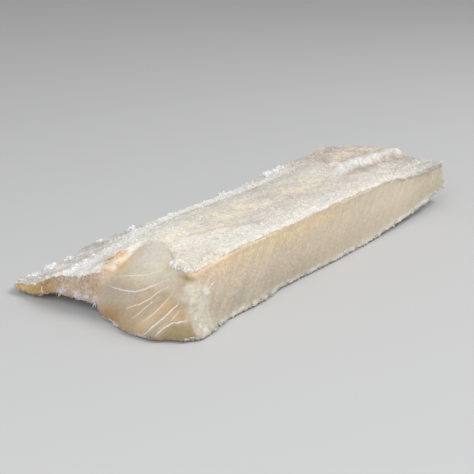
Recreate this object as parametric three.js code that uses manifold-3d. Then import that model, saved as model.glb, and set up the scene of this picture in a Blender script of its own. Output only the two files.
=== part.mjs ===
// Salted dried cod: one thick loin cut from a split, salt-cured fish, with its thin belly flap left on.
// Millimetres. +X runs from the thick cross cut to the tail end, +Y from the straight back cut to the belly
// edge, +Z up. The loin lies on its skin, and the origin is the bottom centre of its box.
import * as THREE from "three";
import { ImprovedNoise } from "three/addons/math/ImprovedNoise.js";
import { mergeVertices } from "three/addons/utils/BufferGeometryUtils.js";
import Module from "manifold-3d";

// Outline in plan, measured from the foot of the corner between the thick cut and the back cut. Each pair is
// [distance along the loin, value there], joined by smooth steps.
const BELLY_LINE = [
  [-22, 141.5], [30, 141], [44, 146], [95, 146],
  [160, 136.5], [225, 129], [300, 119.5], [330, 117],
];
const BACK_TOP = [[-10, 0], [60, -0.5], [120, 0.5], [220, 0.8], [330, 0.2]];
const BACK_FOOT = [
  [-12, 0.5], [-2, -5.4], [8, -3.4], [30, 0.6],
  [62, -0.8], [92, 2.4], [120, 1.8], [150, 0.6], [330, 0.8],
];
const FOOT_SHARE = 0.32; // share of the height over which the back cut's foot keeps its own line

// Heights of the top along the loin: its crown beside the back cut, and the top of the belly edge.
const CROWN = [[-15, 41], [45, 44], [110, 43.4], [225, 43], [275, 40.3], [330, 38]];
const BELLY_EDGE = [
  [-22, 7.5], [30, 9.5], [56, 14], [110, 14.5],
  [160, 16.5], [230, 21.5], [300, 29], [330, 33],
];
// Share of the width where the top starts and ends its fall to the belly edge.
const FALL_START = [[0, 0.34], [150, 0.42], [330, 0.6]];
const FALL_END = [[0, 0.98], [150, 1.0], [330, 1.12]];

// Salt crust and folds on the top.
const RIM_HEIGHT = 1.7; // crust piled along the back edge
const RIM_Y = 6;
const VALLEY_DEPTH = 2.6; // shallow trough beside that crust
const RIDGE_HEIGHT = 4.2; // fold that runs out at the tail end
const RIDGE_LINE = [[190, 62], [250, 56], [325, 44]];
const RIDGE_STEP = 9; // width of the fold's steep side
const CREST_HEIGHT = 2.4; // crust roll near the belly, at the thick cut
const CREST_Y = 102;
const CREST_REACH = 8;
const STRIP_STEP = 2; // the outermost belly strip lies this much lower
const STRIP_SHARE = 0.87;
const DIP = 4.6; // top sinks towards the thick cut, beside the scoop

// Thick cross cut: it leans back, bulges at the foot and is scooped out under the top.
const CUT_X = -8.6;
const CUT_SLANT = 11.5; // the belly tip reaches this much further than the back corner
const CUT_BULGE = 13.5;
const SCOOP_DEPTH = 33;
const LOBE_RECESS = 3.2; // the crust lobe at the corner overhangs the cut by this
const POCKET = 1.8; // sunken flesh beside the pale corner edge

// Tail cut.
const TAIL_X = 325.5;
const TAIL_BOW = 3;
const TAIL_LEAN = 12.5; // its foot reaches this much further than its top

// Underside: it rests flat, arches under the flap, and lifts at both far edges.
const ARCH = 7.3;
const EDGE_LIFT = 2.2;
const BELLY_LIFT = 6;
const TAIL_LIFT = [[205, 0], [262, 4], [335, 13]];

// Edge rounding as shares of length, width and thickness, and the thin belly edge's own.
const ROUND_U = 0.018;
const ROUND_V = 0.034;
const ROUND_W = 0.075;
const ROUND_W_BELLY = 0.42;

// Grid of the skin of the block: segments along, across and up.
const ALONG = 50;
const ACROSS = 30;
const UP = 11;
const RINGS = 2; // segments spent on each rounded edge

// Crags of salt and torn fibre, as the noise's reach in millimetres.
const CRAG_TOP = 1.2;
const CRAG_SIDE = 0.55;
const CRAG_LENGTH = 7.3;

// Sheets of connective tissue that stand out of the thick cut between the flakes:
// [start v, start w, end v, end w, sag in w], from the belly side to the lobe.
const SEAMS = [
  [0.42, 0.735, 0.23, 0.8, -0.03],
  [0.39, 0.615, 0.1, 0.86, -0.13],
  [0.305, 0.33, 0.095, 0.815, -0.03],
  [0.25, 0.23, 0.1, 0.73, 0],
  [0.185, 0.26, 0.085, 0.7, 0],
  [0.165, 0.11, 0.05, 0.6, 0],
  [0.112, 0.1, 0.03, 0.345, 0.05],
];
const SEAM_WIDTH = 1.1;
const SEAM_PROUD = 0.6;
const SEAM_STEPS = 7;

// Salt lumps: [x, share of the width, size] for the large ones, and the small ones by rule.
const LARGE_LUMPS = [
  [24, 0.985, 3.4], [38, 0.98, 3.2], [106, 0.985, 2.6], [244, 0.965, 4.6], [252, 0.955, 3.4],
  [262, 0.965, 2.8], [309, 0.97, 3], [6, 0.97, 2.4],
];
const SMALL_LUMPS = 30;
const LUMP_SIZES = [2, 3.2];
const SEED = 7;
const SLIVER = 0.02; // faces thinner than this, left where pieces meet, are merged away

const noise = new ImprovedNoise();

function smooth(from, to, t) {
  return THREE.MathUtils.smoothstep(t, Math.min(from, to), Math.max(from, to));
}

function hump(t, centre, reach) {
  return Math.exp(-0.5 * ((t - centre) / reach) ** 2);
}

// Value at x of a line of stations joined by smooth steps.
function alongLine(stations, x) {
  let value = stations[0][1];
  for (let i = 1; i < stations.length; i++) {
    const [x0, v0] = stations[i - 1];
    const [x1, v1] = stations[i];
    value += (v1 - v0) * smooth(x0, x1, x);
  }
  return value;
}

// X of the thick cross cut at share v of the width and share w of the height.
function thickCut(v, w) {
  const bulge = CUT_BULGE * hump(v, 0.19, 0.14) * (1 - smooth(0, 0.72, w));
  const hollow = smooth(0.02, 0.33, v) * (1 - smooth(0.435, 0.51, v));
  const scoop = SCOOP_DEPTH * hollow * smooth(0.6, 1.04, w) ** 1.2;
  const recess = LOBE_RECESS * (1 - smooth(0.06, 0.15, v)) * hump(w, 0.87, 0.055);
  const pocket = POCKET * smooth(0.01, 0.03, v) * (1 - smooth(0.06, 0.1, v)) * (1 - smooth(0.5, 0.64, w));
  return CUT_X - CUT_SLANT * v - bulge + scoop + recess + pocket;
}

// X of the tail cut.
function tailCut(v, w) {
  const notch = 2 * smooth(0.35, 0.42, v) * (1 - smooth(0.5, 0.7, v));
  const bow = TAIL_BOW * Math.sin(Math.PI * v) ** 2 + 2.5 * smooth(0, 0.3, v);
  return TAIL_X + bow - notch + TAIL_LEAN * (1 - w) * (1 - 0.3 * v);
}

// Y of the straight back cut at x and share w of the height, with the crust's overhang at the top.
function backCut(x, w) {
  const foot = 1 - smooth(0, FOOT_SHARE, w);
  const line = THREE.MathUtils.lerp(alongLine(BACK_TOP, x), alongLine(BACK_FOOT, x), foot);
  const overhang = 1.1 * smooth(0.92, 0.97, w) * smooth(0, 20, x);
  const hollow = hump(w, 0.55, 0.3) * smooth(40, 100, x);
  return line - overhang + hollow;
}

// Height of the top at x, y: crown, fall to the belly edge, then crust and folds.
function topHeight(x, y) {
  const share = y / alongLine(BELLY_LINE, x);
  const start = alongLine(FALL_START, x);
  const end = alongLine(FALL_END, x);
  const fall = smooth(start, end, share) / smooth(start, end, 1);
  const crown = alongLine(CROWN, x);
  let z = crown - (crown - alongLine(BELLY_EDGE, x)) * fall;
  const towardsTail = smooth(195, 300, x);
  z += RIM_HEIGHT * hump(y, RIM_Y, 6) * smooth(-10, 40, x) * (1 - 0.5 * smooth(180, 260, x));
  z -= VALLEY_DEPTH * hump(share, 0.24, 0.1) * smooth(20, 120, x) * (1 - 0.7 * towardsTail);
  const ridge = alongLine(RIDGE_LINE, x);
  const terrace = smooth(ridge - RIDGE_STEP, ridge, y) * (1 - 0.45 * smooth(ridge + 2, ridge + 45, y));
  z += RIDGE_HEIGHT * towardsTail * terrace;
  z -= DIP * (1 - smooth(-20, 14, x)) * smooth(0.3, 0.42, share) * (1 - smooth(0.55, 0.8, share));
  z += CREST_HEIGHT * hump(y, CREST_Y, CREST_REACH) * (1 - smooth(60, 90, x));
  const stripRun = smooth(28, 40, x) - smooth(110, 150, x);
  z -= STRIP_STEP * smooth(STRIP_SHARE - 0.01, STRIP_SHARE + 0.015, share) * stripRun;
  return z;
}

// Height of the underside at x, y.
function undersideHeight(x, y) {
  const share = y / alongLine(BELLY_LINE, x);
  const underFlap = smooth(0.44, 0.49, share) * (1 - smooth(0.72, 0.9, share));
  const arch = ARCH * underFlap * (1 - smooth(60, 150, x));
  const edge = EDGE_LIFT * smooth(0.75, 1, share);
  const belly = BELLY_LIFT * smooth(0.86, 1.02, share) * smooth(60, 200, x);
  const tail = alongLine(TAIL_LIFT, x) * (1 - smooth(0, 0.45, share));
  return arch + edge + belly + tail;
}

// Pulls a point of the unit block's skin in, so that edges and corners are round.
function rounded(u, v, w) {
  const reachW = THREE.MathUtils.lerp(ROUND_W, ROUND_W_BELLY, smooth(0.72, 1, v));
  const reach = new THREE.Vector3(ROUND_U, ROUND_V, reachW);
  const at = new THREE.Vector3(u, v, w);
  const inner = at.clone().clamp(reach, new THREE.Vector3(1, 1, 1).sub(reach));
  const out = at.clone().sub(inner).divide(reach);
  const length = out.length();
  if (length < 1e-9) return at;
  const longest = Math.max(Math.abs(out.x), Math.abs(out.y), Math.abs(out.z));
  return out.multiplyScalar(longest / length).multiply(reach).add(inner);
}

// Point of the loin for a point of the unit block's skin, before its crags.
function loinPoint(u, v, w) {
  const p = rounded(u, v, w);
  const x = THREE.MathUtils.lerp(thickCut(p.y, p.z), tailCut(p.y, p.z), p.x);
  const y = THREE.MathUtils.lerp(backCut(x, p.z), alongLine(BELLY_LINE, x), p.y);
  const z = THREE.MathUtils.lerp(undersideHeight(x, y), topHeight(x, y), p.z);
  return new THREE.Vector3(x, y, z);
}

// Crags, larger on the salted top than on the cuts; the underside stays flat.
function withCrags(p, w) {
  const reach = THREE.MathUtils.lerp(CRAG_SIDE, CRAG_TOP, smooth(0.8, 1, w)) * smooth(0, 0.15, w);
  const [x, y, z] = [p.x / CRAG_LENGTH, p.y / CRAG_LENGTH, p.z / CRAG_LENGTH];
  p.x += reach * noise.noise(x, y, z);
  p.y += reach * noise.noise(x + 31.7, y, z);
  p.z += reach * 1.3 * noise.noise(x, y + 17.3, z);
  return p;
}

// Grid station: even in between, with RINGS segments on the rounding at each end.
function station(t, count, reach) {
  const i = Math.round(t * count);
  if (i <= RINGS) return (reach * i) / RINGS;
  if (i >= count - RINGS) return 1 - (reach * (count - i)) / RINGS;
  return reach + ((1 - 2 * reach) * (i - RINGS)) / (count - 2 * RINGS);
}

// Closed body of the loin: a unit block's skin, each vertex sent to its place.
function loinBody() {
  const block = new THREE.BoxGeometry(1, 1, 1, ALONG, ACROSS, UP);
  block.deleteAttribute("normal");
  block.deleteAttribute("uv");
  const skin = mergeVertices(block);
  const places = skin.getAttribute("position");
  for (let i = 0; i < places.count; i++) {
    const u = station(places.getX(i) + 0.5, ALONG, ROUND_U);
    const v = station(places.getY(i) + 0.5, ACROSS, ROUND_V);
    const w = station(places.getZ(i) + 0.5, UP, ROUND_W);
    const p = withCrags(loinPoint(u, v, w), w);
    places.setXYZ(i, p.x, p.y, p.z);
  }
  return skin;
}

// One tissue seam: a slim tapered bead, half sunk in the thick cut.
function seam([v0, w0, v1, w1, sag]) {
  const bead = new THREE.CylinderGeometry(1, 1, 1, 5, SEAM_STEPS);
  bead.deleteAttribute("normal");
  bead.deleteAttribute("uv");
  const skin = mergeVertices(bead);
  const places = skin.getAttribute("position");
  for (let i = 0; i < places.count; i++) {
    const t = places.getY(i) + 0.5;
    const v = THREE.MathUtils.lerp(v0, v1, t);
    const w = THREE.MathUtils.lerp(w0, w1, t) + 4 * sag * t * (1 - t);
    const taper = 0.35 + 0.65 * Math.sin(Math.PI * THREE.MathUtils.clamp(t, 0.04, 0.96)) ** 0.5;
    const centre = loinPoint(0, v, w);
    const across = loinPoint(0, v, w + 0.02).sub(loinPoint(0, v, w - 0.02)).normalize();
    const outward = new THREE.Vector3(0, 1, 0).cross(across).normalize();
    centre.addScaledVector(across, places.getX(i) * 0.5 * SEAM_WIDTH * taper);
    centre.addScaledVector(outward, places.getZ(i) * SEAM_PROUD * taper);
    places.setXYZ(i, centre.x, centre.y, centre.z);
  }
  return skin;
}

// One lump of salt, a squat rough crystal bedded in the crust at x and share v of the width.
function saltLump(x, v, size, turn) {
  const lump = new THREE.IcosahedronGeometry(size / 2, 0);
  lump.deleteAttribute("normal");
  lump.deleteAttribute("uv");
  lump.rotateX(turn * 2.3);
  lump.rotateZ(turn * 5.1);
  lump.scale(1.15, 1, 0.85);
  const u = (x - CUT_X) / (TAIL_X - CUT_X);
  const bed = withCrags(loinPoint(u, v, 1), 1);
  lump.translate(bed.x, bed.y, bed.z);
  return mergeVertices(lump);
}

// Draws from 0 to 1, the same on every run.
function draws(seed) {
  let state = seed;
  return () => {
    state = (state * 1664525 + 1013904223) % 4294967296;
    return state / 4294967296;
  };
}

// Small lumps: half along the crust at the back edge, half over the rest of the top.
function smallLumps() {
  const draw = draws(SEED);
  const lumps = [];
  for (let i = 0; i < SMALL_LUMPS; i++) {
    const x = THREE.MathUtils.lerp(8, TAIL_X - 8, (i + draw()) / SMALL_LUMPS);
    const v = i % 2 ? THREE.MathUtils.lerp(0.04, 0.12, draw()) : THREE.MathUtils.lerp(0.3, 0.96, draw());
    const size = THREE.MathUtils.lerp(...LUMP_SIZES, draw() ** 2);
    lumps.push(saltLump(x, v, size, draw()));
  }
  return lumps;
}

const wasm = await Module();
wasm.setup();

function toSolid(geometry) {
  return new wasm.Manifold(
    new wasm.Mesh({
      numProp: 3,
      vertProperties: geometry.getAttribute("position").array,
      triVerts: new Uint32Array(geometry.index.array),
    }),
  );
}

function toGeometry(solid) {
  const mesh = solid.getMesh();
  const geometry = new THREE.BufferGeometry();
  geometry.setAttribute("position", new THREE.BufferAttribute(mesh.vertProperties, 3));
  geometry.setIndex(new THREE.BufferAttribute(mesh.triVerts, 1));
  return geometry;
}

const largeLumps = LARGE_LUMPS.map(([x, v, size], i) => saltLump(x, v, size, i));
const pieces = [loinBody(), ...SEAMS.map(seam), ...largeLumps, ...smallLumps()];
const fused = wasm.Manifold.union(pieces.map(toSolid)).asOriginal().simplify(SLIVER);
const [whole] = fused.decompose().sort((a, b) => b.volume() - a.volume());
const loinGeometry = toGeometry(whole);
loinGeometry.computeBoundingBox();
const box = loinGeometry.boundingBox;
loinGeometry.translate(-(box.min.x + box.max.x) / 2, -(box.min.y + box.max.y) / 2, -box.min.z);
loinGeometry.computeVertexNormals();

const flesh = new THREE.MeshStandardMaterial({ color: 0xe3d8c0, roughness: 0.62, metalness: 0 });
const loin = new THREE.Mesh(loinGeometry, flesh);
loin.name = "cod_loin";

const cod = new THREE.Group();
cod.name = "salted_cod";
cod.add(loin);

export default cod;
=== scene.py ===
"""Salted dried cod loin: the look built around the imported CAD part, in its own frame (metres, Z up).

The loin's form is worked out in millimetres from the foot of the corner between the thick cut and the
back cut, then moved so that its box lies on the CAD box. LoinForm holds the same named sizes as the
part's source.
"""
import logging
import math
from dataclasses import dataclass, field
from enum import Enum

import bmesh
import bpy
import numpy as np
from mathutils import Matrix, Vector


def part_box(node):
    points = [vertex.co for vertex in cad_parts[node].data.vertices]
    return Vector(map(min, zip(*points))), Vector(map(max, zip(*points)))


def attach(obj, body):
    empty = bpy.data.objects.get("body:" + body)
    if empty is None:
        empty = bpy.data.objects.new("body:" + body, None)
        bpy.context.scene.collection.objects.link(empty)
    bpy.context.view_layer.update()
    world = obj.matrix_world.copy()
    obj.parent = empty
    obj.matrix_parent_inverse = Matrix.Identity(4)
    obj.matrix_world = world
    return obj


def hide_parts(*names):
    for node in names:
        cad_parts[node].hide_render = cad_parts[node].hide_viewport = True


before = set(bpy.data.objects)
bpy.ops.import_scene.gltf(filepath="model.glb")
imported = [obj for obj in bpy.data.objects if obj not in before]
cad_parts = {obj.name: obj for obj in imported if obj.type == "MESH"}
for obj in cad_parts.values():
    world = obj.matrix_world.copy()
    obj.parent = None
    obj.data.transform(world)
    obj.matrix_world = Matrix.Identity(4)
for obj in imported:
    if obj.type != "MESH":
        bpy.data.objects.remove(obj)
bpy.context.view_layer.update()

NODE = "cod_loin"
MM = 0.001
# Shares below AT_START lie on the first face of the unit block, and those above AT_END on its last.
AT_START = 0.001
AT_END = 0.999

# Strength of the fine speckle where nothing else sets it.
PLAIN_SPECKLE = 0.28

# Ends of the range that nearly all values of the cloudy noise lie in.
CLOUD_LOW = 0.3
CLOUD_HIGH = 0.7

Colour = tuple[float, float, float]
Stations = tuple[tuple[float, float], ...]
log = logging.getLogger("cod")


def smooth(start: float | np.ndarray, end: float | np.ndarray, t: np.ndarray) -> np.ndarray:
    """Smooth step.

    Args:
        start: where the step begins.
        end: where it is complete, past start.
        t: values to send through it.

    Returns:
        0 before start, 1 after end, eased in between.
    """
    s = np.clip((t - start) / (end - start), 0, 1)
    return s * s * (3 - 2 * s)


def hump(t: np.ndarray, centre: float | np.ndarray, reach: float) -> np.ndarray:
    """Bell of height 1.

    Args:
        t: values to send through it.
        centre: where it peaks.
        reach: its standard deviation.

    Returns:
        The bell's height at each value.
    """
    return np.exp(-0.5 * ((t - centre) / reach) ** 2)


def mix(a: float | np.ndarray, b: float | np.ndarray, share: np.ndarray) -> np.ndarray:
    """Blend of two values.

    Args:
        a: value at share 0.
        b: value at share 1.
        share: how far from a to b.

    Returns:
        The blended values.
    """
    return a + (b - a) * share


def along(stations: Stations, x: np.ndarray) -> np.ndarray:
    """Line of stations joined by smooth steps.

    Args:
        stations: pairs of place and value, in order.
        x: places to read the line at.

    Returns:
        The line's values.
    """
    value = np.full_like(x, stations[0][1], dtype=float)
    for (x0, v0), (x1, v1) in zip(stations, stations[1:]):
        value += (v1 - v0) * smooth(x0, x1, x)
    return value


def band(t: np.ndarray, low: float | np.ndarray, high: float | np.ndarray, soft: float) -> np.ndarray:
    """Plateau of height 1 between two limits.

    Args:
        t: values to send through it.
        low: where it rises.
        high: where it falls.
        soft: half the width of each slope.

    Returns:
        1 inside, 0 outside, eased on the slopes.
    """
    return smooth(low - soft, low + soft, t) * (1 - smooth(high - soft, high + soft, t))


def from_path(place: np.ndarray, path: np.ndarray) -> tuple[np.ndarray, np.ndarray]:
    """Distance of points from a broken line in a plane.

    Args:
        place: the points, shape (n, 2).
        path: the line's places in order, shape (m, 2).

    Returns:
        Distances, and the side each point lies on as -1, 0 or 1, both of shape (n,).
    """
    distance, side = np.full(len(place), np.inf), np.zeros(len(place))
    for a, b in zip(path, path[1:]):
        step = b - a
        t = np.clip((place - a) @ step / (step @ step), 0, 1)
        off = place - (a + t[:, None] * step)
        d = np.linalg.norm(off, axis=1)
        closer = d < distance
        distance = np.where(closer, d, distance)
        side = np.where(closer, np.sign(step[0] * off[:, 1] - step[1] * off[:, 0]), side)
    return distance, side


@dataclass(frozen=True)
class LatticeNoise:
    """Smooth random field on a lattice, the same on every run.

    Args:
        seed: which field.
    """

    seed: int

    def _corner(self, cell: np.ndarray) -> np.ndarray:
        """Random values at lattice corners.

        Args:
            cell: the corners as whole numbers, shape (n, 3).

        Returns:
            Values from -1 to 1, shape (n,).
        """
        c = cell.astype(np.int64)
        h = c[:, 0] * 73856093 ^ c[:, 1] * 19349663 ^ c[:, 2] * 83492791 ^ self.seed * 2654435761
        h = ((h & 0xFFFFFFFF) ^ ((h & 0xFFFFFFFF) >> 13)) * 1274126177 & 0xFFFFFFFF
        return ((h ^ (h >> 16)) & 0xFFFF) / 32767.5 - 1

    def at(self, p: np.ndarray, size: float | tuple[float, float, float]) -> np.ndarray:
        """Field at points.

        Args:
            p: points, shape (n, 3).
            size: the lattice cell's size, one for all axes or one for each.

        Returns:
            Values from -1 to 1.
        """
        q = p / np.asarray(size, float)
        cell = np.floor(q)
        f = q - cell
        f = f * f * (3 - 2 * f)
        value = np.zeros(len(p))
        for corner in np.ndindex(2, 2, 2):
            weight = np.prod(np.where(corner, f, 1 - f), axis=1)
            value += weight * self._corner(cell + corner)
        return value

    def layers(self, p: np.ndarray, size: float, count: int, fall: float = 0.55) -> np.ndarray:
        """Sum of ever finer fields.

        Args:
            p: points, shape (n, 3).
            size: the coarsest cell's size.
            count: how many fields, each half the size of the last.
            fall: strength of each field against the last.

        Returns:
            Values of about -1 to 1.
        """
        value, weight, total = np.zeros(len(p)), 1.0, 0.0
        for i in range(count):
            value += weight * LatticeNoise(self.seed + i).at(p, size / 2**i)
            total += weight
            weight *= fall
        return value / total


class Pattern(Enum):
    """Random fields on the loin, each with its own seed."""

    CRUST_EDGE = 3
    RUGGED = 5
    CORNER_BEND = 7
    CRAGS = 11
    CLUMPS = 17
    LARGE_CLUMPS = 19
    STREAKS = 23
    RAGGED = 29
    CLOUD = 31
    GRAIN = 37
    FIBRES = 41
    SKIN_MOTTLE = 43
    SEAM_WAVE = 47
    FLESH_CLOUD = 59
    SEAM_TAPER = 61
    SHINE = 67
    FLECKS = 71
    FLAP_PATCHES = 73
    DRIFT = 79
    BLOTCHES = 83

    @property
    def noise(self) -> LatticeNoise:
        """The field itself."""
        return LatticeNoise(self.value)


@dataclass(frozen=True)
class LoinForm:
    """Form of the loin in millimetres, as in the part's source.

    u runs along it from the thick cut to the tail cut, v across from the back cut to the belly edge, and w
    from the skin up to the salted top.

    Args:
        belly_line: y of the belly edge, by x.
        back_top: y of the back cut's upper edge, by x.
        back_foot: y of the back cut's foot, by x.
        foot_share: share w up to which the foot's line has a say.
        crown: height of the top along the back, by x.
        belly_top: height of the top at the belly edge, by x.
        fall_start: share of the width where the top begins to fall, by x.
        fall_end: share of the width where the fall ends, by x.
        rim_height: height of the crust's rim along the back.
        rim_y: y of that rim.
        valley_depth: depth of the trough beside the rim.
        ridge_height: height of the fold towards the tail.
        ridge_line: y of that fold, by x.
        ridge_step: width of the fold's slope.
        crest_height: height of the crust's roll on the flap.
        crest_y: y of that roll.
        crest_reach: half width of that roll.
        strip_step: drop to the lower strip at the flap's edge.
        strip_share: share of the width where that strip begins.
        dip: depth of the hollow beside the scoop.
        cut_x: x of the thick cut at the back.
        cut_slant: how far the thick cut comes forward across the width.
        cut_bulge: how far its foot bulges.
        scoop_depth: depth of the scoop under the top.
        lobe_recess: depth of the recess under the crust's lobe.
        pocket: depth of the pocket below that recess.
        tail_x: x of the tail cut.
        tail_bow: how far the tail cut bows.
        tail_lean: how far the tail cut leans.
        arch: height of the arch under the flap.
        edge_lift: lift of the belly edge off the table.
        belly_lift: further lift of the belly edge towards the tail.
        tail_lift: lift of the back's foot towards the tail, by x.
        round_u: share of the length that is rounded at the cuts.
        round_v: share of the width that is rounded at the long edges.
        round_w: share of the height that is rounded at the back.
        round_w_belly: share of the height that is rounded at the belly edge.
    """

    belly_line: Stations = (
        (-22, 141.5), (30, 141), (44, 146), (95, 146), (160, 136.5), (225, 129), (300, 119.5), (330, 117),
    )
    back_top: Stations = ((-10, 0), (60, -0.5), (120, 0.5), (220, 0.8), (330, 0.2))
    back_foot: Stations = (
        (-12, 0.5), (-2, -5.4), (8, -3.4), (30, 0.6), (62, -0.8), (92, 2.4), (120, 1.8), (150, 0.6),
        (330, 0.8),
    )
    foot_share: float = 0.32
    crown: Stations = ((-15, 41), (45, 44), (110, 43.4), (225, 43), (275, 40.3), (330, 38))
    belly_top: Stations = (
        (-22, 7.5), (30, 9.5), (56, 14), (110, 14.5), (160, 16.5), (230, 21.5), (300, 29), (330, 33),
    )
    fall_start: Stations = ((0, 0.34), (150, 0.42), (330, 0.6))
    fall_end: Stations = ((0, 0.98), (150, 1.0), (330, 1.12))
    rim_height: float = 1.7
    rim_y: float = 6
    valley_depth: float = 2.6
    ridge_height: float = 4.2
    ridge_line: Stations = ((190, 62), (250, 56), (325, 44))
    ridge_step: float = 9
    crest_height: float = 2.4
    crest_y: float = 102
    crest_reach: float = 8
    strip_step: float = 2
    strip_share: float = 0.87
    dip: float = 4.6
    cut_x: float = -8.6
    cut_slant: float = 11.5
    cut_bulge: float = 13.5
    scoop_depth: float = 33
    lobe_recess: float = 3.2
    pocket: float = 1.8
    tail_x: float = 325.5
    tail_bow: float = 3
    tail_lean: float = 12.5
    arch: float = 7.3
    edge_lift: float = 2.2
    belly_lift: float = 6
    tail_lift: Stations = ((205, 0), (262, 4), (335, 13))
    round_u: float = 0.018
    round_v: float = 0.034
    round_w: float = 0.075
    round_w_belly: float = 0.42

    def thick_cut(self, v: np.ndarray, w: np.ndarray) -> np.ndarray:
        """Thick cross cut, with its bulging foot, the scoop under the top and the recess under the lobe.

        Args:
            v: shares across.
            w: shares upwards.

        Returns:
            X of the cut.
        """
        bulge = self.cut_bulge * hump(v, 0.19, 0.14) * (1 - smooth(0, 0.72, w))
        hollow = smooth(0.02, 0.33, v) * (1 - smooth(0.435, 0.51, v))
        scoop = self.scoop_depth * hollow * smooth(0.6, 1.04, w) ** 1.2
        recess = self.lobe_recess * (1 - smooth(0.06, 0.15, v)) * hump(w, 0.87, 0.055)
        beside = smooth(0.01, 0.03, v) * (1 - smooth(0.06, 0.1, v))
        pocket = self.pocket * beside * (1 - smooth(0.5, 0.64, w))
        return self.cut_x - self.cut_slant * v - bulge + scoop + recess + pocket

    def tail_cut(self, v: np.ndarray, w: np.ndarray) -> np.ndarray:
        """Tail cut, bowed, notched and leaning.

        Args:
            v: shares across.
            w: shares upwards.

        Returns:
            X of the cut.
        """
        notch = 2 * smooth(0.35, 0.42, v) * (1 - smooth(0.5, 0.7, v))
        bow = self.tail_bow * np.sin(np.pi * v) ** 2 + 2.5 * smooth(0, 0.3, v)
        return self.tail_x + bow - notch + self.tail_lean * (1 - w) * (1 - 0.3 * v)

    def back_cut(self, x: np.ndarray, w: np.ndarray) -> np.ndarray:
        """Straight back cut, with the crust's overhang.

        Args:
            x: distances along.
            w: shares upwards.

        Returns:
            Y of the cut.
        """
        foot = 1 - smooth(0, self.foot_share, w)
        line = mix(along(self.back_top, x), along(self.back_foot, x), foot)
        overhang = 1.1 * smooth(0.92, 0.97, w) * smooth(0, 20, x)
        return line - overhang + hump(w, 0.55, 0.3) * smooth(40, 100, x)

    def top(self, x: np.ndarray, y: np.ndarray) -> np.ndarray:
        """Salted top, from the crown over the fold down to the belly edge.

        Args:
            x: distances along.
            y: distances across.

        Returns:
            Heights of the top.
        """
        share = y / along(self.belly_line, x)
        start, end = along(self.fall_start, x), along(self.fall_end, x)
        fall = smooth(start, end, share) / smooth(start, end, 1)
        crown = along(self.crown, x)
        z = crown - (crown - along(self.belly_top, x)) * fall
        tail = smooth(195, 300, x)
        z += self.rim_height * hump(y, self.rim_y, 6) * smooth(-10, 40, x) * (1 - 0.5 * smooth(180, 260, x))
        z -= self.valley_depth * hump(share, 0.24, 0.1) * smooth(20, 120, x) * (1 - 0.7 * tail)
        ridge = along(self.ridge_line, x)
        terrace = smooth(ridge - self.ridge_step, ridge, y) * (1 - 0.45 * smooth(ridge + 2, ridge + 45, y))
        z += self.ridge_height * tail * terrace
        z -= self.dip * (1 - smooth(-20, 14, x)) * smooth(0.3, 0.42, share) * (1 - smooth(0.55, 0.8, share))
        z += self.crest_height * hump(y, self.crest_y, self.crest_reach) * (1 - smooth(60, 90, x))
        run = smooth(28, 40, x) - smooth(110, 150, x)
        return z - self.strip_step * smooth(self.strip_share - 0.01, self.strip_share + 0.015, share) * run

    def underside(self, x: np.ndarray, y: np.ndarray) -> np.ndarray:
        """Skin side, with the arch under the flap and the lift of the tail.

        Args:
            x: distances along.
            y: distances across.

        Returns:
            Heights of the skin side.
        """
        share = y / along(self.belly_line, x)
        flap = smooth(0.44, 0.49, share) * (1 - smooth(0.72, 0.9, share))
        arch = self.arch * flap * (1 - smooth(60, 150, x))
        edge = self.edge_lift * smooth(0.75, 1, share)
        belly = self.belly_lift * smooth(0.86, 1.02, share) * smooth(60, 200, x)
        return arch + edge + belly + along(self.tail_lift, x) * (1 - smooth(0, 0.45, share))

    def rounded(self, q: np.ndarray) -> np.ndarray:
        """Rounds the unit block's edges and corners.

        Args:
            q: points of its skin, shape (n, 3).

        Returns:
            The points, pulled in, shape (n, 3).
        """
        reach = np.empty_like(q)
        reach[:, 0], reach[:, 1] = self.round_u, self.round_v
        reach[:, 2] = mix(self.round_w, self.round_w_belly, smooth(0.72, 1, q[:, 1]))
        inner = np.clip(q, reach, 1 - reach)
        out = (q - inner) / reach
        length = np.maximum(np.linalg.norm(out, axis=1), 1e-9)
        longest = np.abs(out).max(axis=1)
        return inner + out * reach * (longest / length)[:, None]

    def points(self, q: np.ndarray) -> np.ndarray:
        """Places on the loin.

        Args:
            q: points (u, v, w) of the unit block's skin, shape (n, 3).

        Returns:
            Points in millimetres, shape (n, 3).
        """
        u, v, w = self.rounded(q).T
        x = mix(self.thick_cut(v, w), self.tail_cut(v, w), u)
        y = mix(self.back_cut(x, w), along(self.belly_line, x), v)
        z = mix(self.underside(x, y), self.top(x, y), w)
        return np.stack([x, y, z], axis=1)

    def u_at(self, x: np.ndarray) -> np.ndarray:
        """Share u of a distance x along the top."""
        return (x - self.cut_x) / (self.tail_x - self.cut_x)


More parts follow.
